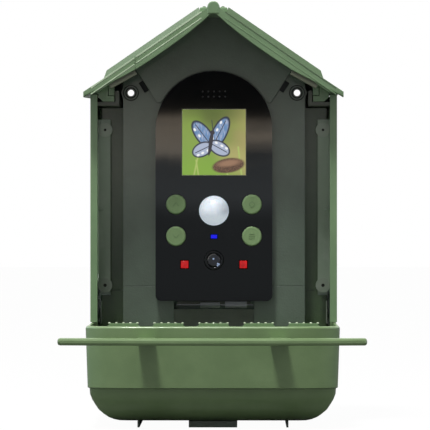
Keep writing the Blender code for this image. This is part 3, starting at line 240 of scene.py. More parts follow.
# The shiny black front plate: almost a mirror, with faint wipe marks and a soft orange-peel
def glossPlate(name):
    material, shader, place = startFinish(name)
    marks = place.streaks((30, 30, 130), 3, 0.6, turn=(0, 0.6, 0)).step(0.45, 0.8)
    dust = place.noise(1100, 1).step(0.72, 0.8)
    plug(shader, Base_Color=(dust * 0.25).mixed(linear("060607"), linear("3A3A38")), IOR=1.5)
    plug(shader, Roughness=0.035 + marks * 0.03 + dust * 0.1, Normal=bumpFrom(place.noise(60, 0), 0.000003))
    return material


# Clear moulded plastic, with a darker second tint towards its foot: painted shade low down, and painted light
# in the paler main tint above
def clearPlastic(name, tint="F4F8F6", rough=0.04, clear=1.0, foot=None):
    material, shader, place = startFinish(name)
    wave = place.noise(55, 1)
    smear = place.noise(140, 3).step(0.5, 0.85)
    tone = linear(tint)
    # darker below and paler above, by height: painted shade and painted light
    if foot:
        tone = place.axis(2).step(0.075, 0.185).mixed(linear(foot), linear(tint))
    plug(shader, Base_Color=(smear * 0.2).mixed(tone, linear("E4E8E4")), IOR=1.48)
    plug(shader, Transmission_Weight=clear, Roughness=rough + smear * 0.05, Normal=bumpFrom(wave, 0.0002))
    return material


# The domed lens over the motion sensor: milky plastic with a painted glow, as if it were a lamp, and a
# painted shade spot round a place in metres
domePaintedGlowLook = {"strength": 0.6, "across": 0.0065, "height": 0.129, "paintedShadeSpot": (0.001, 0.0065)}


def milkyPaintedGlow(name, look):
    material, shader, place = startFinish(name)
    cloud = place.noise(220, 2)
    cells = place.add(
        "ShaderNodeTexVoronoi", {"feature": "DISTANCE_TO_EDGE"},
        {"Vector": place, "Scale": 290, "Randomness": 0.25},
    ).step(0.0, 0.12)
    pale = cloud.mixed(linear("BFC1C4"), linear("B2B5B9"))
    plug(shader, Base_Color=(cells * 0.4 + 0.6).mixed(linear("A6ABB0"), pale), Roughness=0.3 + cloud * 0.08)
    plug(shader, Subsurface_Weight=0.25, Subsurface_Scale=0.003, IOR=1.5)
    # painted glow over the whole shell, with a painted shade spot on its right
    parts = place.axis(0)
    across = parts - look["across"]
    rise = parts.beside(2) - look["height"]
    paintedShadeSpot = 1 - (across * across + rise * rise).maths("SQRT").step(*look["paintedShadeSpot"])
    glow = (paintedShadeSpot * 0.7).mixed(cloud.mixed(linear("E6F0FA"), linear("D2DEEC")), linear("8A98A6"))
    plug(shader, Emission_Color=glow, Emission_Strength=look["strength"])
    plug(shader, Normal=bumpFrom(cells, 0.00004))
    return material


def darkGlass(name, colour):
    material, shader, place = startFinish(name)
    cloud = place.noise(300, 2).step(0.4, 0.7)
    plug(shader, Base_Color=cloud.mixed(linear(colour), linear("050507")), Roughness=0.06 + cloud * 0.03)
    plug(shader, Coat_Weight=1.0, Coat_Roughness=0.03, IOR=1.6)
    return material


# A small lamp behind its window; also the lens's painted glints, which glow though they are no lamp
def litWindow(name, colour, glow, strength):
    material, shader, place = startFinish(name)
    cloud = place.noise(400, 2)
    plug(shader, Base_Color=cloud.mixed(linear(colour), linear("0A0C14")), Roughness=0.25 + cloud * 0.1)
    plug(shader, Emission_Color=cloud.mixed(linear(glow), linear(colour)), Emission_Strength=strength)
    return material


finishes = {name: moulded(name, *look) for name, look in mouldedLooks.items()}
finishes.update({
    "steel": metal("steel", "B9B6AE", 0.24),
    "darkSteel": metal("darkSteel", "3A3B3A", 0.4),
    "brass": metal("brass", "C39A4E", 0.26),
    "glossPlate": glossPlate("glossPlate"),
    "clearPlastic": clearPlastic("clearPlastic"),
    # frosted strips and eyelets: a paler tint high up as painted light, a darker foot as painted shade
    "frostedStrip": clearPlastic("frostedStrip", "C8D4C4", 0.3, 0.3, "94A391"),
    "frostedEyelet": clearPlastic("frostedEyelet", "D6DCD0", 0.3, 0.3, "8E988A"),
    "milkyPaintedGlow": milkyPaintedGlow("milkyPaintedGlow", domePaintedGlowLook),
    "lensGlass": darkGlass("lensGlass", "0B0A1C"),
    "lensGlint": litWindow("lensGlint", "6A7C98", "B4C8E6", 0.7),
    "infraRed": litWindow("infraRed", "8C0608", "F01A1E", 0.78),
    "statusBlue": litWindow("statusBlue", "0608A0", "1414FF", 1.0),
})
slotFinish = {
    "house_green": "houseGreen", "dark_green": "shadowGreen", "liner_green": "linerGreen",
    "button_green": "buttonGreen", "clear_plastic": "clearPlastic", "gloss_black": "glossPlate",
    "black_plastic": "pitchBlack", "black_rubber": "gasketBlack", "grey_rubber": "rubberGrey",
    "screen": "glossPlate", "circuit_green": "boardGreen", "white_dome": "milkyPaintedGlow",
    "lens_glass": "lensGlass", "infra_red": "infraRed", "status_blue": "statusBlue",
    "steel": "steel", "brass": "brass", "cell_wrap": "cellWrap",
}
print("finishes made:", len(finishes))


def dress(piece, finish, angle=30):
    piece.data.materials.clear()
    piece.data.materials.append(finish)
    makeActive(piece)
    bpy.ops.object.shade_smooth_by_angle(angle=math.radians(angle))
    # broad faces keep their own direction, so that only the rounded edges bend the light
    even = piece.modifiers.new("even", "WEIGHTED_NORMAL")
    even.keep_sharp = True
    even.weight = 100
    bpy.ops.object.modifier_apply(modifier=even.name)
    clearSelection()


# Stage: what the camera, the lamp and the air are set to
studio = {
    "cameraPlace": (0.0181, -1.995, 0.1246),
    "cameraTurn": 0.495,
    "lens": 279.07,
    "keyPower": 25.5,
    "keySize": 0.3,
    "keyTurn": -25.0,
    "keyHeight": 70.0,
    "keyDistance": 1.5,
    "keyAim": (0, 0, 0.12),
    "skyLevel": 0.25,
    "skyAbove": 0.42,
    "sideGlow": 1.6,
    "sideCool": (0.74, 0.93, 1.0, 1),
    "screenDark": 0.9,
    "floorForLight": 0.12,
}


def raysOf(wire):
    # 1 for what the camera sees straight or through glass, and 1 for what a shiny surface sees
    view = wire.add("ShaderNodeLightPath", out=0)
    return view.maths("MAXIMUM", view.beside("Is Transmission Ray")), view.beside("Is Glossy Ray")


# A tall card behind the camera that only shiny surfaces see: strengths, and bands' places in metres
cardLook = {
    "place": (0, -2.476, 0.17),
    "wide": 1.4,
    "light": 2.2,
    "aside": 0.0217,
    "band": 1.75,
    "bandWide": ((0.199, 0.212), (0.247, 0.265)),
    "bandSlim": ((0.212, 0.232), (0.236, 0.260)),
    "bandTurn": (-0.03, 0.04),
    "bandWarm": (1.0, 0.84, 0.65, 1),
    "beside": 0.55,
    "besideFrom": (0.088, 0.098),
    "besideUp": ((0.185, 0.205), (0.262, 0.30)),
    "corner": 0.5,
    "cornerUp": (-0.02, 0.0),
    "cornerAcross": (-0.15, 0.06),
    "foot": 0.13,
    "footUp": (0.115, 0.250),
    "shelf": 0.2,
    "shelfUp": ((0.118, 0.150), (0.190, 0.260)),
    "cool": (0.86, 0.95, 1.0, 1),
}


def buildCard(look):
    clearSelection()
    bpy.ops.mesh.primitive_plane_add(size=1, location=look["place"], rotation=(math.radians(-90), 0, 0))
    card = bpy.context.object
    card.name = "mirror_card"
    card.scale = (look["wide"], 1, 1)
    bpy.ops.object.transform_apply(location=True, rotation=True, scale=True)
    material = bpy.data.materials.new("warmCard")
    material.use_nodes = True
    tree = material.node_tree
    tree.nodes.remove(tree.nodes["Principled BSDF"])
    across = Wire(tree).add("ShaderNodeTexCoord", out=3).axis(0)
    up = across.beside(2)
    across = across + look["aside"]
    # a warm window-like band, wide on the left, narrow on the right, and paler bands to both sides
    left = 1 - across.step(*look["bandTurn"])
    band = left * up.between(*look["bandWide"]) + (1 - left) * up.between(*look["bandSlim"]) * 0.7
    beside = across.maths("ABSOLUTE").step(*look["besideFrom"]) * up.between(*look["besideUp"])
    corner = (1 - up.step(*look["cornerUp"])) * (1 - across.step(*look["cornerAcross"]))
    pale = up.between(*look["shelfUp"]) * look["shelf"] + (1 - up.step(*look["footUp"])) * look["foot"] + 0.02
    pale = pale + beside * look["beside"] + corner * look["corner"]
    black = (0, 0, 0, 1)
    warm = (band * look["band"]).mixed(black, look["bandWarm"])
    glow = up.add(
        "ShaderNodeMix", {"data_type": "RGBA", "blend_type": "ADD"},
        {0: 1.0, 6: warm, 7: pale.mixed(black, look["cool"])}, out=2,
    )
    light = up.add("ShaderNodeEmission", None, {"Color": glow, "Strength": look["light"]})
    tree.links.new(light.socket, tree.nodes["Material Output"].inputs["Surface"])
    card.data.materials.append(material)
    card.visible_camera = False
    card.visible_diffuse = False
    card.visible_shadow = False


# A pale floor that is white to the camera, darker for the light that it sends back up
def buildFloor():
    clearSelection()
    bpy.ops.mesh.primitive_plane_add(size=9, location=(0, 1.5, 0))
    floor = bpy.context.object
    floor.name = "floor"
    bpy.ops.object.transform_apply(location=True)
    material, shader, place = startFinish("paleFloor")
    seen = raysOf(place)[0]
    level = seen * (0.92 - studio["floorForLight"]) + studio["floorForLight"]
    shade = level.maths("ADD", place.noise(14, 2) * 0.004)
    grey = place.add("ShaderNodeCombineColor", None, {0: shade, 1: shade, 2: shade})
    plug(shader, Base_Color=grey, Roughness=0.9)
    glow = place.add("ShaderNodeEmission", None, {"Color": (1, 1, 1, 1), "Strength": 1.0})
    finish = Wire(place.tree, shader.outputs[0])
    mix = place.add("ShaderNodeMixShader", None, {0: seen * 0.97, 1: finish, 2: glow})
    place.tree.links.new(mix.socket, place.tree.nodes["Material Output"].inputs["Surface"])
    floor.data.materials.append(material)


# The air: white to the camera, more light from above than from level, and a dim room for the plate to show
def buildAir():
    world = bpy.data.worlds.new("studioAir")
    bpy.context.scene.world = world
    world.use_nodes = True
    way = Wire(world.node_tree).add("ShaderNodeTexCoord", out=0)
    seen, mirror = raysOf(way)
    across = way.axis(0)
    back = across.beside(1)
    above = across.beside(2).step(-0.1, 0.9)
    # cool lights to both sides that only shiny edges show
    lit = (0 - across).step(0.5, 0.85) + across.step(0.6, 0.9) * 0.6
    room = back.step(-0.8, 0.2) * 0.1 + 0.9 + lit * studio["sideGlow"]
    # a dark screen to the right of the camera, seen by what bows to that side
    screen = across.between((0.06, 0.16), (0.5, 0.65)) * (1 - back.step(-0.3, 0.1))
    room = room * (1 - screen * studio["screenDark"])
    cool = (mirror * lit).mixed((1, 1, 1, 1), studio["sideCool"])
    strength = above * (studio["skyAbove"] - studio["skyLevel"]) + studio["skyLevel"]
    strength = mirror * (room - strength) + strength
    strength = seen * (1 - strength) + strength
    plug(world.node_tree.nodes["Background"], Color=cool, Strength=strength)


def addCamera():
    bpy.context.scene.view_settings.view_transform = "Standard"
    clearSelection()
    turn = math.radians(studio["cameraTurn"])
    bpy.ops.object.camera_add(location=studio["cameraPlace"], rotation=(math.radians(90), 0, turn))
    camera = bpy.context.object
    camera.data.sensor_width = 36
    camera.data.lens = studio["lens"]
    camera.data.clip_start = 0.05
    camera.data.clip_end = 50
    bpy.context.scene.camera = camera


# The key lamp: its turn is to the left of straight ahead for minus, its height from level
def addKeyLamp():
    across, up = math.radians(studio["keyTurn"]), math.radians(studio["keyHeight"])
    way = Vector((math.sin(across) * math.cos(up), -math.cos(across) * math.cos(up), math.sin(up)))
    place = Vector(studio["keyAim"]) + way * studio["keyDistance"]
    clearSelection()
    bpy.ops.object.light_add(type="AREA", location=place, rotation=way.to_track_quat("Z", "Y").to_euler())
    lamp = bpy.context.object
    lamp.name = "keyLamp"
    lamp.data.shape = "DISK"
    lamp.data.size = studio["keySize"]
    lamp.data.energy = studio["keyPower"]


buildFloor()
buildAir()
buildCard(cardLook)
addCamera()
addKeyLamp()
print("stage, camera and lamp placed")


# A finer copy of a moulded part: its loose triangles merged, flat areas made whole, edges rounded
def mergedCopy(node, name):
    makeActive(frame["nodes"][node])
    bpy.ops.object.duplicate()
    piece = bpy.context.object
    piece.name = name
    piece.parent = None
    piece.matrix_world = Matrix.Identity(4)
    for key in list(piece.keys()):
        del piece[key]
    makeActive(piece)
    bpy.ops.object.mode_set(mode="EDIT")
    bpy.ops.mesh.select_all(action="SELECT")
    bpy.ops.mesh.remove_doubles(threshold=0.000002)
    bpy.ops.mesh.dissolve_limited(angle_limit=math.radians(0.6))
    bpy.ops.object.mode_set(mode="OBJECT")
    return piece


def roundEdges(piece, width, segments=2, angle=28):
    makeActive(piece)
    rounding = piece.modifiers.new("rounding", "BEVEL")
    rounding.width = width
    rounding.segments = segments
    rounding.limit_method = "ANGLE"
    rounding.angle_limit = math.radians(angle)
    rounding.use_clamp_overlap = True
    bpy.ops.object.modifier_apply(modifier=rounding.name)


def replaceNode(piece, node):
    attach(piece, bodyOf[node])
    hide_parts(node)


slotOf = {name: node.data.materials[0].name.split(".")[0] for name, node in frame["nodes"].items()}
finishOf = {name: finishes[slotFinish[slot]] for name, slot in slotOf.items()}
ownFinish = {
    "tray": "trayGreen", "perch": "trayGreen", "roof": "roofPaintedShadeGreen", "hopper_floor": "hopperFloorPaintedLight",
    "camera_box": "boxPaintedLightGrey", "lens_barrel": "glossPlate", "window_screw_1": "darkSteel",
    "window_screw_2": "darkSteel", "window_screw_3": "darkSteel", "window_screw_4": "darkSteel",
}
finishOf.update({name: finishes[finish] for name, finish in ownFinish.items()})
for name, node in frame["nodes"].items():
    node.data.materials.clear()
    node.data.materials.append(finishOf[name])

# Moulded parts that are seen: width of their rounded edges in mm
roundedParts = {
    "side_wall_left": 0.5, "side_wall_right": 0.5, "front_panel": 0.5,
    "gable_cover": 0.3, "lower_front": 0.15, "hopper_floor": 0.4, "rear_wall": 0.5, "base": 0.5,
    "tray_liner": 0.35, "camera_box": 0.35, "battery_holder": 0.3,
    "faceplate": 0.3, "face_gasket": 0.2,
}


# A fine copy in a solid's place: reshaped if need be, its edges rounded, its finish put on
def finePart(node, edge, segments=2, angle=28, smooth=30, shape=None, prefix="fine_"):
    piece = mergedCopy(node, prefix + node)
    if shape:
        shape(piece)
    roundEdges(piece, edge * mm, segments, angle)
    dress(piece, finishOf[node], smooth)
    replaceNode(piece, node)
    return piece


def tintFaces(piece, finish, test):
    # a second finish for the faces whose middle passes the test
    piece.data.materials.append(finishes[finish])
    for face in piece.data.polygons:
        if test(face.center):
            face.material_index = len(piece.data.materials) - 1


fine = {node: finePart(node, edge) for node, edge in roundedParts.items()}
# the stepped-back wings beside the panel and the channels in the side walls that the roof slides in, in mm;
# both get a darker green as painted shade
paintedShadePlaces = {"wingStart": 56.0, "railStart": 70.4, "railFoot": 189.0}
for node in ("front_panel", "lower_front"):
    tintFaces(fine[node], "wingPaintedShadeGreen", lambda middle: abs(middle.x) > paintedShadePlaces["wingStart"] * mm)
for node in ("side_wall_left", "side_wall_right"):
    tintFaces(fine[node], "railPaintedShade", lambda middle: (
        abs(middle.x) < paintedShadePlaces["railStart"] * mm and middle.z > paintedShadePlaces["railFoot"] * mm
    ))
print("moulded parts rounded:", len(fine))


# Small tools for modelling by hand
def editPiece(piece):
    makeActive(piece)
    bpy.ops.object.mode_set(mode="EDIT")
    bpy.ops.mesh.select_all(action="DESELECT")


def editWhole(piece):
    editPiece(piece)
    bpy.ops.mesh.select_all(action="SELECT")


def leaveEdit():
    bpy.ops.object.mode_set(mode="OBJECT")


def pick(kind, test):
    # selects the vertices, edges or faces that pass the test
    mesh = bmesh.from_edit_mesh(bpy.context.edit_object.data)
    bpy.context.tool_settings.mesh_select_mode = (kind == "verts", kind == "edges", kind == "faces")
    for group in (mesh.verts, mesh.edges, mesh.faces):
        for item in group:
            item.select = False
    chosen = [item for item in getattr(mesh, kind) if test(item)]
    for item in chosen:
        item.select_set(True)
    mesh.select_flush_mode()
    bmesh.update_edit_mesh(bpy.context.edit_object.data)
    return len(chosen)


def at(depth):
    # depth behind the front plane in mm, as a place on the y axis
    return (depth + frontPlane) * mm


def addBlock(name, low, high):
    # low and high corner in mm, the middle value a depth
    a = Vector((low[0] * mm, at(low[1]), low[2] * mm))
    b = Vector((high[0] * mm, at(high[1]), high[2] * mm))
    clearSelection()
    bpy.ops.mesh.primitive_cube_add(size=1, location=(a + b) / 2)
    piece = bpy.context.object
    piece.scale = b - a
    bpy.ops.object.transform_apply(location=True, scale=True)
    piece.name = name
    return piece


def addSideBlock(name, side, low, high):
    # a block given for the right side, or its mirror image for side -1
    left, right = sorted((side * low[0], side * high[0]))
    return addBlock(name, (left, *low[1:]), (right, *high[1:]))


def addTurned(name, x, depthFront, z, steps, sides=48):
    # a disc at (x, z) facing the front, extruded back and resized step by step: (back, radius)
    clearSelection()
    bpy.ops.mesh.primitive_circle_add(
        vertices=sides, radius=steps[0][1] * mm, fill_type="NGON",
        location=(x * mm, at(depthFront + steps[0][0]), z * mm), rotation=(math.radians(90), 0, 0),
    )
    piece = bpy.context.object
    piece.name = name
    bpy.ops.object.transform_apply(location=True, rotation=True)
    editWhole(piece)
    for (back, radius), (nextBack, nextRadius) in zip(steps, steps[1:]):
        bpy.ops.mesh.extrude_region_move(TRANSFORM_OT_translate={"value": (0, (nextBack - back) * mm, 0)})
        bpy.ops.transform.resize(
            value=(nextRadius / radius, 1, nextRadius / radius),
            center_override=(x * mm, at(depthFront + nextBack), z * mm),
        )
    bpy.ops.mesh.select_all(action="SELECT")
    bpy.ops.mesh.normals_make_consistent(inside=False)
    leaveEdit()
    return piece


def isFrontEdge(edge, upward):
    normals = [face.normal for face in edge.link_faces]
    return (
        len(normals) == 2 and any(n.y < -0.9 for n in normals)
        and any(n.z * upward > 0.3 for n in normals)
    )


def bevelEdges(piece, test, width, segments):
    editPiece(piece)
    pick("edges", test)
    bpy.ops.mesh.bevel(
        offset=width * mm, segments=segments, profile=0.5, affect="EDGES", clamp_overlap=True
    )
    leaveEdit()


def resizeAll(piece, share, middle):
    # across and up by the same share, seen from the front
    editWhole(piece)
    bpy.ops.transform.resize(value=(share, 1, share), center_override=middle)
    leaveEdit()


def cutWith(piece, tool):
    makeActive(piece)
    cutting = piece.modifiers.new("cut", "BOOLEAN")
    cutting.operation = "DIFFERENCE"
    cutting.solver = "EXACT"
    cutting.object = tool
    bpy.ops.object.modifier_apply(modifier=cutting.name)
    bpy.data.objects.remove(tool, do_unlink=True)


def addPiece(piece, body, finish, angle=30):
    dress(piece, finishes[finish], angle)
    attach(piece, body)


def slantedBar(name, first, last, tall, front, back):
    # a bar from first to last, both (x, z), its front and back as depths
    a, b = Vector((first[0], 0, first[1])), Vector((last[0], 0, last[1]))
    length = (b - a).length
    bar = addBlock(name, (-length / 2, front, -tall / 2), (length / 2, back, tall / 2))
    editWhole(bar)
    turn = math.atan2(b.z - a.z, b.x - a.x)
    bpy.ops.transform.rotate(value=turn, orient_axis="Y", center_override=(0, at(front), 0))
    bpy.ops.transform.translate(value=((a.x + b.x) / 2 * mm, 0, (a.z + b.z) / 2 * mm))
    leaveEdit()
    return bar


# Roof: a drooping brim with a full round nose, raised slopes and a ridge bead on its bed
roofLook = {
    "noseTop": 1.0, "noseBottom": 0.9, "noseBack": -15.4, "edge": 0.45,
    "eaveBack": 80.0, "eaveOuter": 77.5, "eaveKink": 74.3, "eaveInner": 69.8,
    "eaveFoot": 194.8, "eaveTop": 198.0, "eaveSlope": 0.688, "eaveLift": (5.4, 5.0, 3.0),
    "shadedBandFront": -4.4, "shadedBandBack": -1.9, "shadedBandRise": 0.8,
    "lineTop": 250.9, "lineStart": 7.0, "lineEnd": 73.0, "lineFront": -16.15, "lineBack": -15.2,
    "lines": ((0.5, 0.9, "paintedShadeGreen"), (4.2, 0.7, "roofPaintedShadeGreen")), "lineGap": 0.5, "lineEdge": 0.14,
    "beadLow": (-3.65, -16.3, 244.4), "beadHigh": (3.65, 85.4, 252.0), "beadRound": 3.6, "beadEdge": 0.7,
    "bedLow": (-8.3, -3.0, 245.0), "bedHigh": (8.3, 79.6, 249.1), "bedRound": 0.9,
    "seamPlace": -46.6, "seamWidth": 0.34, "seamFront": -18.0, "seamBack": -14.4, "seamUp": (205.0, 225.0),
}


# Behind the drooping brim the eaves rise again to the line of the slopes
def liftEaves(roof, look):
    editPiece(roof)
    for x in (look["eaveKink"], -look["eaveKink"], look["eaveInner"], -look["eaveInner"]):
        bpy.ops.mesh.select_all(action="SELECT")
        bpy.ops.mesh.bisect(plane_co=(x * mm, 0, 0), plane_no=(1, 0, 0))

    def isAt(vert, x, z):
        return (
            vert.co.y > at(look["eaveBack"])
            and abs(abs(vert.co.x) - x * mm) < 0.0001 and abs(vert.co.z - z * mm) < 0.00025
        )

    rise = (look["eaveOuter"] - look["eaveInner"]) * look["eaveSlope"]
    places = (
        (look["eaveOuter"], look["eaveFoot"]), (look["eaveOuter"], look["eaveTop"]),
        (look["eaveInner"], look["eaveTop"] + rise),
    )
    for (x, z), lift in zip(places, look["eaveLift"]):
        count = pick("verts", lambda v: isAt(v, x, z))
        bpy.ops.transform.translate(value=(0, 0, lift * mm))
        print("eave corners lifted:", count)
    leaveEdit()


# Two thin raised lines along each side of the brim, the upper one on its edge, broken at the seam; the left
# ones carry a painted highlight and the right's upper one painted shade
def addBrimLines(look):
    for row, (low, tall, rightFinish) in enumerate(look["lines"]):
        for name, first, last, finish in (
            ("outer_left", -look["lineEnd"], look["seamPlace"] - look["lineGap"], "paintedHighlightGreen"),
            ("inner_left", look["seamPlace"] + look["lineGap"], -look["lineStart"], "paintedHighlightGreen"),
            ("right", look["lineStart"], look["lineEnd"], rightFinish),
        ):
            ends = [(x, look["lineTop"] - low - look["eaveSlope"] * abs(x)) for x in (first, last)]
            name = "brim_line_%s_%d" % (name, row + 1)
            line = slantedBar(name, *ends, tall, look["lineFront"], look["lineBack"])
            roundEdges(line, look["lineEdge"] * mm, 2, 40)
            addPiece(line, "roof_body", finish)


def buildRoof(look):
    roof = mergedCopy("roof", "fine_roof")
    liftEaves(roof, look)
    for upward, width, segments in ((1, look["noseTop"], 5), (-1, look["noseBottom"], 3)):
        bevelEdges(roof, lambda e: (
            isFrontEdge(e, upward) and all(v.co.y < at(look["noseBack"]) for v in e.verts)
        ), width, segments)
    roundEdges(roof, look["edge"] * mm)
    seam, half = look["seamPlace"], look["seamWidth"] / 2
    low, high = look["seamUp"]
    cut = addBlock("seamCut", (seam - half, look["seamFront"], low), (seam + half, look["seamBack"], high))
    cutWith(roof, cut)
    dress(roof, finishOf["roof"])

    def isPaintedShadeBand(middle):
        slope = look["lineTop"] - look["eaveSlope"] * abs(middle.x) / mm
        inBand = at(look["shadedBandFront"]) < middle.y < at(look["shadedBandBack"])
        return inBand and middle.z / mm > slope + look["shadedBandRise"]

    # the front faces of the raised slopes get a darker green: painted shade
    tintFaces(roof, "paintedShadeGreen", isPaintedShadeBand)
    replaceNode(roof, "roof")
    addBrimLines(look)

    bead = addBlock("ridge_bead", look["beadLow"], look["beadHigh"])
    bevelEdges(bead, lambda e: (
        all(v.co.z > 0.25 for v in e.verts) and abs(e.verts[0].co.x - e.verts[1].co.x) < mm
    ), look["beadRound"], 10)
    roundEdges(bead, look["beadEdge"] * mm, 3, 40)
    addPiece(bead, "roof_body", "roofPaintedShadeGreen")

    bed = addBlock("ridge_bed", look["bedLow"], look["bedHigh"])
    bevelEdges(bed, lambda e: all(v.co.z > 0.247 for v in e.verts), look["bedRound"], 3)
    addPiece(bed, "roof_body", "roofPaintedShadeGreen")


buildRoof(roofLook)
print("roof modelled")


# The small screen: a blue butterfly above a brown seed head and grass, before a blurred garden
screenLook = {
    "middle": (0, 168.7), "half": (19.5, 20.15), "glow": 0.95,
    "top": "5E6B33", "low": "7FA83C", "left": "86A843", "right": "A59A62",
    "seed": "7A5A44", "seedShade": "4A352A", "seedTop": "96735A", "grass": "A9BC66",
    "wing": "5E86B4", "wingEdge": "20283C", "wingPale": "A9B4CC", "spot": "F0F2F4", "body": "2A2A36",
    # x, y, half width, half height and turn, on a screen that goes from -1 to 1
    "haze": (
        (-0.75, 0.35, 0.5, 0.75, 20, "90B04A"), (0.7, -0.5, 0.6, 0.3, -20, "C0AE78"),
        (0.1, 0.95, 0.9, 0.3, 0, "3F4A24"),
    ),
    "wings": (
        (-0.33, 0.22, 0.52, 0.25, 128, "wing"), (0.17, 0.27, 0.56, 0.24, 62, "wing"),
        (-0.36, -0.22, 0.34, 0.22, 205, "wingPale"), (0.17, -0.18, 0.36, 0.22, -28, "wingPale"),
    ),
    # x, turn and length of each blade of grass
    "blades": ((-0.62, 78, 0.62), (-0.48, 99, 0.5), (0.86, 97, 0.9), (0.42, 94, 0.34)),
}


def screenPicture(name, look):
    material, shader, place = startFinish(name)
    parts = place.axis(0)
    across = (parts - look["middle"][0] * mm) * (1 / (look["half"][0] * mm))
    up = (parts.beside(2) - look["middle"][1] * mm) * (1 / (look["half"][1] * mm))

    def turned(x, y, turn):
        # places along and across a line through (x, y)
        c, s = math.cos(math.radians(turn)), math.sin(math.radians(turn))
        return (across - x) * c + (up - y) * s, (up - y) * c - (across - x) * s

    def oval(x, y, wide, tall, turn, soft):
        along, over = turned(x, y, turn)
        along = along * (1 / wide)
        over = over * (1 / tall)
        far = (along * along + over * over).maths("SQRT")
        return 1 - far.step(1 - soft, 1 + soft)

    def line(x, y, turn, half, low, high):
        # a straight stroke through (x, y), between two places along its way
        along, over = turned(x, y, turn)
        band = 1 - over.maths("ABSOLUTE").step(half * 0.5, half * 1.5)
        return band * along.between((low, low + 0.04), (high - 0.04, high))

    blur = place.noise(75, 1, 0.4).step(0.3, 0.7)
    colour = (up * 0.5 + 0.5).step(0, 0.95).mixed(linear(look["low"]), linear(look["top"]))
    colour = (across * 0.5 + 0.5).step(0.45, 1.1).mixed(colour, linear(look["right"]))
    colour = (blur * 0.35).mixed(colour, linear(look["left"]))
    for x, y, wide, tall, turn, tint in look["haze"]:
        colour = (oval(x, y, wide, tall, turn, 0.8) * 0.5).mixed(colour, linear(tint))
    for x, turn, high in look["blades"]:
        colour = line(x, -1.0, turn, 0.024, -0.2, high).mixed(colour, linear(look["grass"]))
    grain = place.noise(1400, 3).step(0.35, 0.7)
    brown = grain.mixed(linear(look["seedShade"]), linear(look["seed"]))
    colour = oval(0.45, -0.7, 0.5, 0.22, 8, 0.12).mixed(colour, brown)
    colour = oval(0.46, -0.63, 0.34, 0.09, 8, 0.5).mixed(colour, linear(look["seedTop"]))

    streak = place.streaks((1500, 200, 300))
    for x, y, wide, tall, turn, tint in look["wings"]:
        colour = oval(x, y, wide, tall, turn, 0.05).mixed(colour, linear(look["wingEdge"]))
        pale = streak.step(0.4, 0.7).mixed(linear(look[tint]), linear(look["wingPale"]))
        colour = oval(x, y, wide * 0.86, tall * 0.8, turn, 0.1).mixed(colour, pale)
        c, s = math.cos(math.radians(turn)), math.sin(math.radians(turn))
        for share in (-0.45, 0.1, 0.55):
            out, side = wide * share, tall * 0.45
            spot = oval(x + c * out - s * side, y + s * out + c * side, 0.05, 0.035, turn, 0.3)
            colour = spot.mixed(colour, linear(look["spot"]))
        colour = line(x, y, turn, 0.012, -wide * 0.8, wide * 0.8).mixed(colour, linear(look["wingEdge"]))
    colour = oval(-0.1, -0.05, 0.36, 0.055, 80, 0.12).mixed(colour, linear(look["body"]))
    colour = oval(-0.045, 0.29, 0.07, 0.07, 0, 0.15).mixed(colour, linear(look["body"]))
    for turn in (62, 96):
        colour = line(-0.03, 0.33, turn, 0.011, 0, 0.36).mixed(colour, linear(look["wingEdge"]))
    plug(shader, Base_Color=linear("0A0A0A"), Roughness=0.1 + blur * 0.02, IOR=1.5)
    plug(shader, Emission_Color=colour, Emission_Strength=look["glow"])
    return material


screenNode = frame["nodes"]["lcd_window"]
screenNode.data.materials.clear()
screenNode.data.materials.append(screenPicture("litScreen", screenLook))
print("screen drawn")


# Push buttons: a dished cap with a raised mark, which is an arrow, a ring of strokes or three bars
buttonLook = {
    "places": {
        "button_up": (-23, 131.0), "button_down": (-23, 111.7),
        "button_ok": (23, 131.0), "button_menu": (23, 111.7),
    },
    "front": 18.2, "edge": 0.12,
    # depth behind the front, and radius
    "cap": [
        (0.14, 3.4), (0.02, 4.7), (0.06, 5.35), (0.25, 5.75), (0.55, 5.9), (3.1, 5.9),
        (3.1, 7.0), (3.9, 7.0), (3.9, 2.6), (5.6, 2.6),
    ],
    "markRise": 0.16, "arrowAside": 0.9, "arrow": (2.6, 0.5), "arrowTurn": 52,
    "ring": 1.45, "strokes": 12, "stroke": (0.85, 0.42), "barPitch": 1.35, "bar": (3.4, 0.42),
}


def barMark(x, z, size, turn, front, rise):
    length, width = size
    bar = addBlock("mark", (-length / 2, front - rise, -width / 2), (length / 2, front + 0.25, width / 2))
    bevelEdges(bar, lambda e: all(v.co.y < at(front - rise / 2) for v in e.verts), rise * 0.6, 2)
    editWhole(bar)
    bpy.ops.transform.rotate(value=math.radians(-turn), orient_axis="Y", center_override=(0, at(front), 0))
    bpy.ops.transform.translate(value=(x * mm, 0, z * mm))
    leaveEdit()
    return bar


def marksOf(node, x, z, look):
    # where each bar of a button's mark goes: x, z, size and turn
    if node == "button_ok":
        turns = [360 / look["strokes"] * i for i in range(look["strokes"])]
        return [(
            x + look["ring"] * math.sin(math.radians(turn)), z + look["ring"] * math.cos(math.radians(turn)),
            look["stroke"], turn,
        ) for turn in turns]
    if node == "button_menu":
        return [(x, z + look["barPitch"] * i, look["bar"], 0) for i in (-1, 0, 1)]
    turn = look["arrowTurn"] if node == "button_up" else -look["arrowTurn"]
    return [(x + side * look["arrowAside"], z, look["arrow"], side * turn) for side in (-1, 1)]


def buildButtons(look):
    top = look["front"] + look["cap"][0][0]
    for node, (x, z) in look["places"].items():
        piece = addTurned("cap_" + node, x, look["front"], z, look["cap"])
        roundEdges(piece, look["edge"] * mm, 2, 50)
        dress(piece, finishes["buttonGreen"])
        replaceNode(piece, node)
        makeActive(*[barMark(*mark, top, look["markRise"]) for mark in marksOf(node, x, z, look)])
        bpy.ops.object.join()
        mark = bpy.context.object
        mark.name = "mark_" + node
        addPiece(mark, bodyOf[node], "markGreen")


buildButtons(buttonLook)
print("buttons modelled")


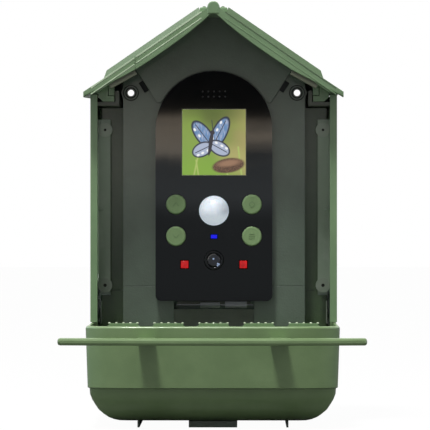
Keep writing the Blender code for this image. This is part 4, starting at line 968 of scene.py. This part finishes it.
# Motion sensor dome: a cap of a sphere on a thin collar, with its lens cells in the finish
domeLook = {
    "radius": 8.7, "rise": 6.0, "height": 127.3, "seat": 19.0, "neck": 2.3, "collar": 0.35, "foot": 1.0,
}


def buildDome(look):
    ball = (look["radius"] ** 2 + look["rise"] ** 2) / (2 * look["rise"])
    middle = look["seat"] - look["rise"] + ball
    clearSelection()
    bpy.ops.mesh.primitive_uv_sphere_add(
        segments=48, ring_count=32, radius=ball * mm, location=(0, at(middle), look["height"] * mm),
        rotation=(math.radians(90), 0, 0),
    )
    dome = bpy.context.object
    dome.name = "sensor_dome"
    bpy.ops.object.transform_apply(location=True, rotation=True)
    editWhole(dome)
    bpy.ops.mesh.bisect(plane_co=(0, at(look["seat"]), 0), plane_no=(0, 1, 0), clear_outer=True)
    pick("edges", lambda e: len(e.link_faces) == 1)
    bpy.ops.mesh.extrude_region_move(TRANSFORM_OT_translate={"value": (0, look["neck"] * mm, 0)})
    bpy.ops.mesh.extrude_region_move(TRANSFORM_OT_translate={"value": (0, 0, 0)})
    grow = (look["radius"] + look["collar"]) / look["radius"]
    middle = (0, at(look["seat"] + look["neck"]), look["height"] * mm)
    bpy.ops.transform.resize(value=(grow, 1, grow), center_override=middle)
    bpy.ops.mesh.extrude_region_move(TRANSFORM_OT_translate={"value": (0, look["foot"] * mm, 0)})
    bpy.ops.mesh.edge_face_add()
    bpy.ops.mesh.select_all(action="SELECT")
    bpy.ops.mesh.normals_make_consistent(inside=False)
    leaveEdit()
    dress(dome, finishes["milkyPaintedGlow"], 40)
    replaceNode(dome, "pir_lens")


buildDome(domeLook)


# Camera: a barrel with a bright rim line and a bulging front glass, painted glints on the glass, and the
# small lamps round it
cameraLook = {
    "height": 97.2, "front": 20.0, "barrelEdge": 0.25,
    "glass": [(-0.12, 3.2), (-0.06, 3.7), (0.1, 4.05), (1.5, 4.05)],
    "paintedGlints": [((1.9, 95.3), (3.9, 94.2), 1.0), ((2.0, 94.3), (3.1, 92.7), 0.9)],
    "paintedGlintFront": 19.8, "glintEdge": 0.09,
    "spark": (-0.3, 98.0), "paintedSparkRings": [(0.0, 0.385), (0.06, 0.55), (0.2, 0.55)],
    # rounded edge of each lamp, and their share of the solid's width
    "lamps": {"ir_light_left": 0.25, "ir_light_right": 0.25, "status_light": 0.2}, "lampShare": 0.9,
}


def buildCamera(look):
    finePart("lens_barrel", look["barrelEdge"], 3, 40)
    glass = addTurned("front_glass", 0, look["front"], look["height"], look["glass"])
    dress(glass, finishes["lensGlass"], 60)
    replaceNode(glass, "lens_glass")
    # painted glints: small glowing bars standing in for light caught on the edges of the lenses inside
    for index, (first, last, wide) in enumerate(look["paintedGlints"]):
        name = "lens_painted_glint_%d" % (index + 1)
        paintedGlint = slantedBar(name, first, last, wide, look["paintedGlintFront"], look["front"])
        roundEdges(paintedGlint, look["glintEdge"] * mm, 2, 40)
        addPiece(paintedGlint, bodyOf["lens_glass"], "lensGlint")
    # a small glowing disc on the glass: a painted glint
    paintedSparkX, paintedSparkZ = look["spark"]
    spark = addTurned("lens_painted_spark", paintedSparkX, look["paintedGlintFront"], paintedSparkZ, look["paintedSparkRings"])
    addPiece(spark, bodyOf["lens_glass"], "lensGlint")
    for node, edge in look["lamps"].items():
        low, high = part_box(node)
        finePart(
            node, edge, 2, 40, prefix="lit_",
            shape=lambda lamp: resizeAll(lamp, look["lampShare"], (low + high) / 2),
        )


# Side windows: clear panes whose front strips and eyelets are frosted
windowLook = {
    "stripBack": 27.7, "tailTop": 75.5, "bossBack": 25.95,
    "ledgeHigh": 129.0, "ledgeLow": 127.4, "ledgeFront": 24.2, "ledgeIn": 70.2, "ledgeOut": 67.4,
    "edgeIn": 68.7, "edgeOut": 68.1, "edgeFront": 25.9, "edgeBack": 27.4, "edgeLow": 59.0, "edgeHigh": 72.5,
    "paneRound": 0.25, "ledgeRound": 0.4, "edgeRound": 0.15,
    "washers": [(66.2, 81.9, 1.05), (66.2, 176.3, 0.8)],
    "washerOuter": 2.3, "washerFront": 24.97, "washerDeep": 0.53, "washerEdge": 0.05,
}


def buildWindow(node, side, look):
    pane = finePart(node, look["paneRound"])
    tintFaces(pane, "frostedStrip", lambda middle: (
        middle.y < at(look["stripBack"]) and middle.z > look["tailTop"] * mm
    ))
    tintFaces(pane, "frostedEyelet", lambda middle: middle.y < at(look["bossBack"]))

    # a finger ledge half way up the strip, and the bright edge of the pane's lower end
    ledge = addSideBlock(
        node + "_ledge", side, (look["ledgeIn"], look["ledgeFront"], look["ledgeLow"]),
        (look["ledgeOut"], look["bossBack"], look["ledgeHigh"]),
    )
    roundEdges(ledge, look["ledgeRound"] * mm, 3)
    addPiece(ledge, bodyOf[node], "frostedStrip")
    edge = addSideBlock(
        node + "_edge", side, (look["edgeIn"], look["edgeFront"], look["edgeLow"]),
        (look["edgeOut"], look["edgeBack"], look["edgeHigh"]),
    )
    roundEdges(edge, look["edgeRound"] * mm, 3)
    addPiece(edge, bodyOf[node], "frostedEyelet")
    # a washer in each eyelet, over the screw's head
    front, outer = look["washerFront"], look["washerOuter"]
    rings = [(0.0, outer - look["washerEdge"]), (look["washerEdge"], outer), (look["washerDeep"], outer)]
    for index, (x, z, inner) in enumerate(look["washers"]):
        name = "%s_washer_%d" % (node, index + 1)
        washer = addTurned(name, side * x, front, z, rings, 32)
        cutWith(washer, addTurned(name + "_hole", side * x, front - 1, z, [(0.0, inner), (3.0, inner)], 32))
        addPiece(washer, bodyOf[node], "frostedEyelet")


# Port covers: rubber tongues whose front lower edge slants back under the plate, below a thin pale lip that
# stands in for a highlight along the box's lower edge: a painted highlight
coverLook = {
    "slants": {"usb_cover": 2.5, "card_cover": 1.7}, "edge": 0.25,
    "highlightLipLow": (-22.8, 20.0, 69.9), "highlightLipHigh": (23.7, 21.0, 70.35), "lipEdge": 0.12,
}


def buildCovers(look):
    for node, slant in look["slants"].items():
        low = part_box(node)[0]

        def isFoot(edge):
            return all(v.co.z < low.z + 0.0004 and v.co.y < low.y + 0.0004 for v in edge.verts)

        finePart(node, look["edge"], 2, 35, shape=lambda cover: bevelEdges(cover, isFoot, slant, 3))
    lip = addBlock("port_painted_highlight_lip", look["highlightLipLow"], look["highlightLipHigh"])
    roundEdges(lip, look["lipEdge"] * mm, 3)
    addPiece(lip, bodyOf["faceplate"], "rubberGrey")


# Fine mesh that shows in the sound holes
meshLook = {
    "pitch": 3.4, "rows": (196.3, 199.5), "front": 19.35, "rings": [(0.0, 0.42), (0.1, 0.52), (0.8, 0.52)],
}


def buildMesh(look):
    for row, height in enumerate(look["rows"]):
        for place in range(-2, 3):
            name = "sound_mesh_%d_%d" % (row + 1, place + 3)
            dot = addTurned(name, place * look["pitch"], look["front"], height, look["rings"], 20)
            addPiece(dot, bodyOf["faceplate"], "meshGrey")


for node, side in (("window_left", -1), ("window_right", 1)):
    buildWindow(node, side, windowLook)
buildCovers(coverLook)
buildCamera(cameraLook)
buildMesh(meshLook)
print("sensor dome, windows, covers and camera modelled")


# Tray: its rolled rim, the liner's comb with a row of pips on each tab, whose pale colour is a painted
# highlight, and the perch
trayLook = {
    "rim": 60.0, "rimOuter": 1.4, "rimInner": 0.5, "middleDepth": -20.0, "perchEdge": 0.7,
    # height below which the belly is drawn in, and by what share
    "tuck": [(19.0, 0.994), (14.5, 0.993), (10.5, 0.992)],
    "tabPitch": 27.0, "pips": [-8.4, -4.2, 0, 4.2, 8.4], "pipSize": 0.85, "pipTall": 0.75,
    "pipDepth": -4.0, "pipSink": 0.2,
}


def outwardRim(edge):
    # an edge of the rim's top whose other face looks away from the tray's middle
    if not all(abs(v.co.z - trayLook["rim"] * mm) < 0.0001 for v in edge.verts):
        return False
    middle = (edge.verts[0].co + edge.verts[1].co) / 2
    away = Vector((middle.x, middle.y - at(trayLook["middleDepth"]), 0))
    walls = [face for face in edge.link_faces if abs(face.normal.z) < 0.7]
    return len(walls) == 1 and walls[0].normal.dot(away) > 0


def shapeTray(tray):
    bevelEdges(tray, outwardRim, trayLook["rimOuter"], 6)
    # the belly's lower corners are tucked in a little
    editPiece(tray)
    for height, share in trayLook["tuck"]:
        pick("verts", lambda v: v.co.z < height * mm)
        bpy.ops.transform.resize(value=(share, 1, 1), center_override=(0, 0, 0))
    leaveEdit()


def buildTray(look):
    finePart("tray", look["rimInner"], 2, 35, 40, shape=shapeTray)
    finePart("perch", look["perchEdge"], 3, 20, 60)

    clearSelection()
    bpy.ops.mesh.primitive_uv_sphere_add(segments=14, ring_count=8, radius=look["pipSize"] * mm)
    pip = bpy.context.object
    editWhole(pip)
    bpy.ops.transform.resize(value=(1, 1, look["pipTall"]))
    bpy.ops.mesh.bisect(
        plane_co=(0, 0, -look["pipSink"] * mm), plane_no=(0, 0, 1), use_fill=True, clear_inner=True
    )
    leaveEdit()
    height = (look["rim"] - look["pipSink"]) * mm
    pips = []
    for tab in range(-2, 3):
        for place in look["pips"]:
            makeActive(pip)
            bpy.ops.object.duplicate()
            copy = bpy.context.object
            copy.location = ((tab * look["tabPitch"] + place) * mm, at(look["pipDepth"]), height)
            bpy.ops.object.transform_apply(location=True)
            pips.append(copy)
    bpy.data.objects.remove(pip, do_unlink=True)
    makeActive(*pips)
    bpy.ops.object.join()
    row = bpy.context.object
    row.name = "comb_pips"
    addPiece(row, "tray_body", "pipPaintedHighlight", 60)


buildTray(trayLook)
print("tray, comb and perch modelled")


# Under the roof: a rib and a lip below each side of the brim, the gable cover's clips, shoes and fills
eaveLook = {
    # inner and outer end of each right bar as (x, z), with its depths
    "bars": {
        "brim_rib": {
            "inner": (46.4, 210.0), "outer": (62.0, 201.4), "tall": 3.8, "front": -15.2, "back": -12.4,
            "edge": 0.35, "body": "roof_body", "finish": "ribPaintedShade", "slot": "dark_green",
        },
        "brim_lip": {
            "inner": (46.0, 213.9), "outer": (69.5, 197.8), "tall": 1.0, "front": -15.7, "back": -12.4,
            "edge": 0.3, "body": "roof_body", "finish": "roofPaintedShadeGreen", "slot": "house_green",
        },
        "cover_clip": {
            "inner": (44.4, 205.4), "outer": (40.8, 199.5), "tall": 3.0, "front": 20.9, "back": 22.05,
            "edge": 0.3, "body": "housing", "finish": "gasketBlack", "slot": "black_plastic",
        },
    },
    # low and high corner of the right shoe beside the roof's rail, and of the fill between rail and brim
    "blocks": {
        "roof_shoe": ((59.6, 2.2, 196.4), (63.2, 6.0, 202.6)),
        "roof_fill": ((69.0, 3.0, 197.25), (72.4, 5.0, 200.8)),
    },
    "blockEdge": 0.25,
}
sides = (("left", -1), ("right", 1))


def buildEaves(look):
    for sideName, side in sides:
        for name, bar in look["bars"].items():
            ends = [(side * x, z) for x, z in (bar["inner"], bar["outer"])]
            piece = slantedBar("%s_%s" % (name, sideName), *ends, bar["tall"], bar["front"], bar["back"])
            roundEdges(piece, bar["edge"] * mm, 2, 40)
            addPiece(piece, bar["body"], bar["finish"])
        for name, (low, high) in look["blocks"].items():
            block = addSideBlock("%s_%s" % (name, sideName), side, low, high)
            roundEdges(block, look["blockEdge"] * mm, 2, 40)
            addPiece(block, "roof_body", "roofPaintedShadeGreen")


# Rings round each mounting hole, dark green and black by turns; the flat black rings stand in for rings of
# shade round the hole: painted shade
mountLook = {
    "holeAbove": 180.0, "holeBehind": 40.0,
    # inner radius, outer radius and finish
    "rings": [
        (1.94, 2.4, "shadowGreen"), (2.75, 3.35, "gasketBlack"),
        (3.65, 4.1, "shadowGreen"), (4.35, 4.75, "gasketBlack"),
    ],
    "proud": 0.5, "deep": 0.45, "edge": 0.08,
}


def buildMountRings(look):
    wall = frame["nodes"]["rear_wall"].data.vertices
    for sideName, side in sides:
        near = [
            v.co for v in wall
            if side * v.co.x > 0 and v.co.y < at(look["holeBehind"]) and v.co.z > look["holeAbove"] * mm
        ]
        front = min(place.y for place in near)
        rim = [place for place in near if place.y < front + 0.0001]
        x = (min(place.x for place in rim) + max(place.x for place in rim)) / 2 / mm
        z = (min(place.z for place in rim) + max(place.z for place in rim)) / 2 / mm
        depth = front / mm - frontPlane - look["proud"]
        print("mounting hole at", round(x, 2), round(depth, 2), round(z, 2))
        for index, (inner, outer, finish) in enumerate(look["rings"]):
            name = "mount_ring_%s_%d" % (sideName, index + 1)
            steps = [(0.0, outer - look["edge"]), (look["edge"], outer), (look["deep"], outer)]
            ring = addTurned(name, x, depth, z, steps)
            cutWith(ring, addTurned(name + "_hole", x, depth - 1.5, z, [(0.0, inner), (4.0, inner)]))
            addPiece(ring, "housing", finish)


# A strip of soft seal on the rear wall's slopes, just short of the roof's underside
sealLook = {
    "front": 83.4, "back": 85.0, "tall": 0.74,
    # x, and height above the top of the wall
    "inner": (0.4, -0.33), "outer": (70.5, -48.3948),
}


def buildSeal(look):
    wallTop = max(v.co.z for v in frame["nodes"]["rear_wall"].data.vertices) / mm
    for sideName, side in sides:
        ends = [(side * x, wallTop + drop) for x, drop in (look["inner"], look["outer"])]
        seal = slantedBar("roof_seal_" + sideName, *ends, look["tall"], look["front"], look["back"])
        addPiece(seal, "housing", "gasketBlack")


buildEaves(eaveLook)
buildMountRings(mountLook)
buildSeal(sealLook)
print("eaves modelled")
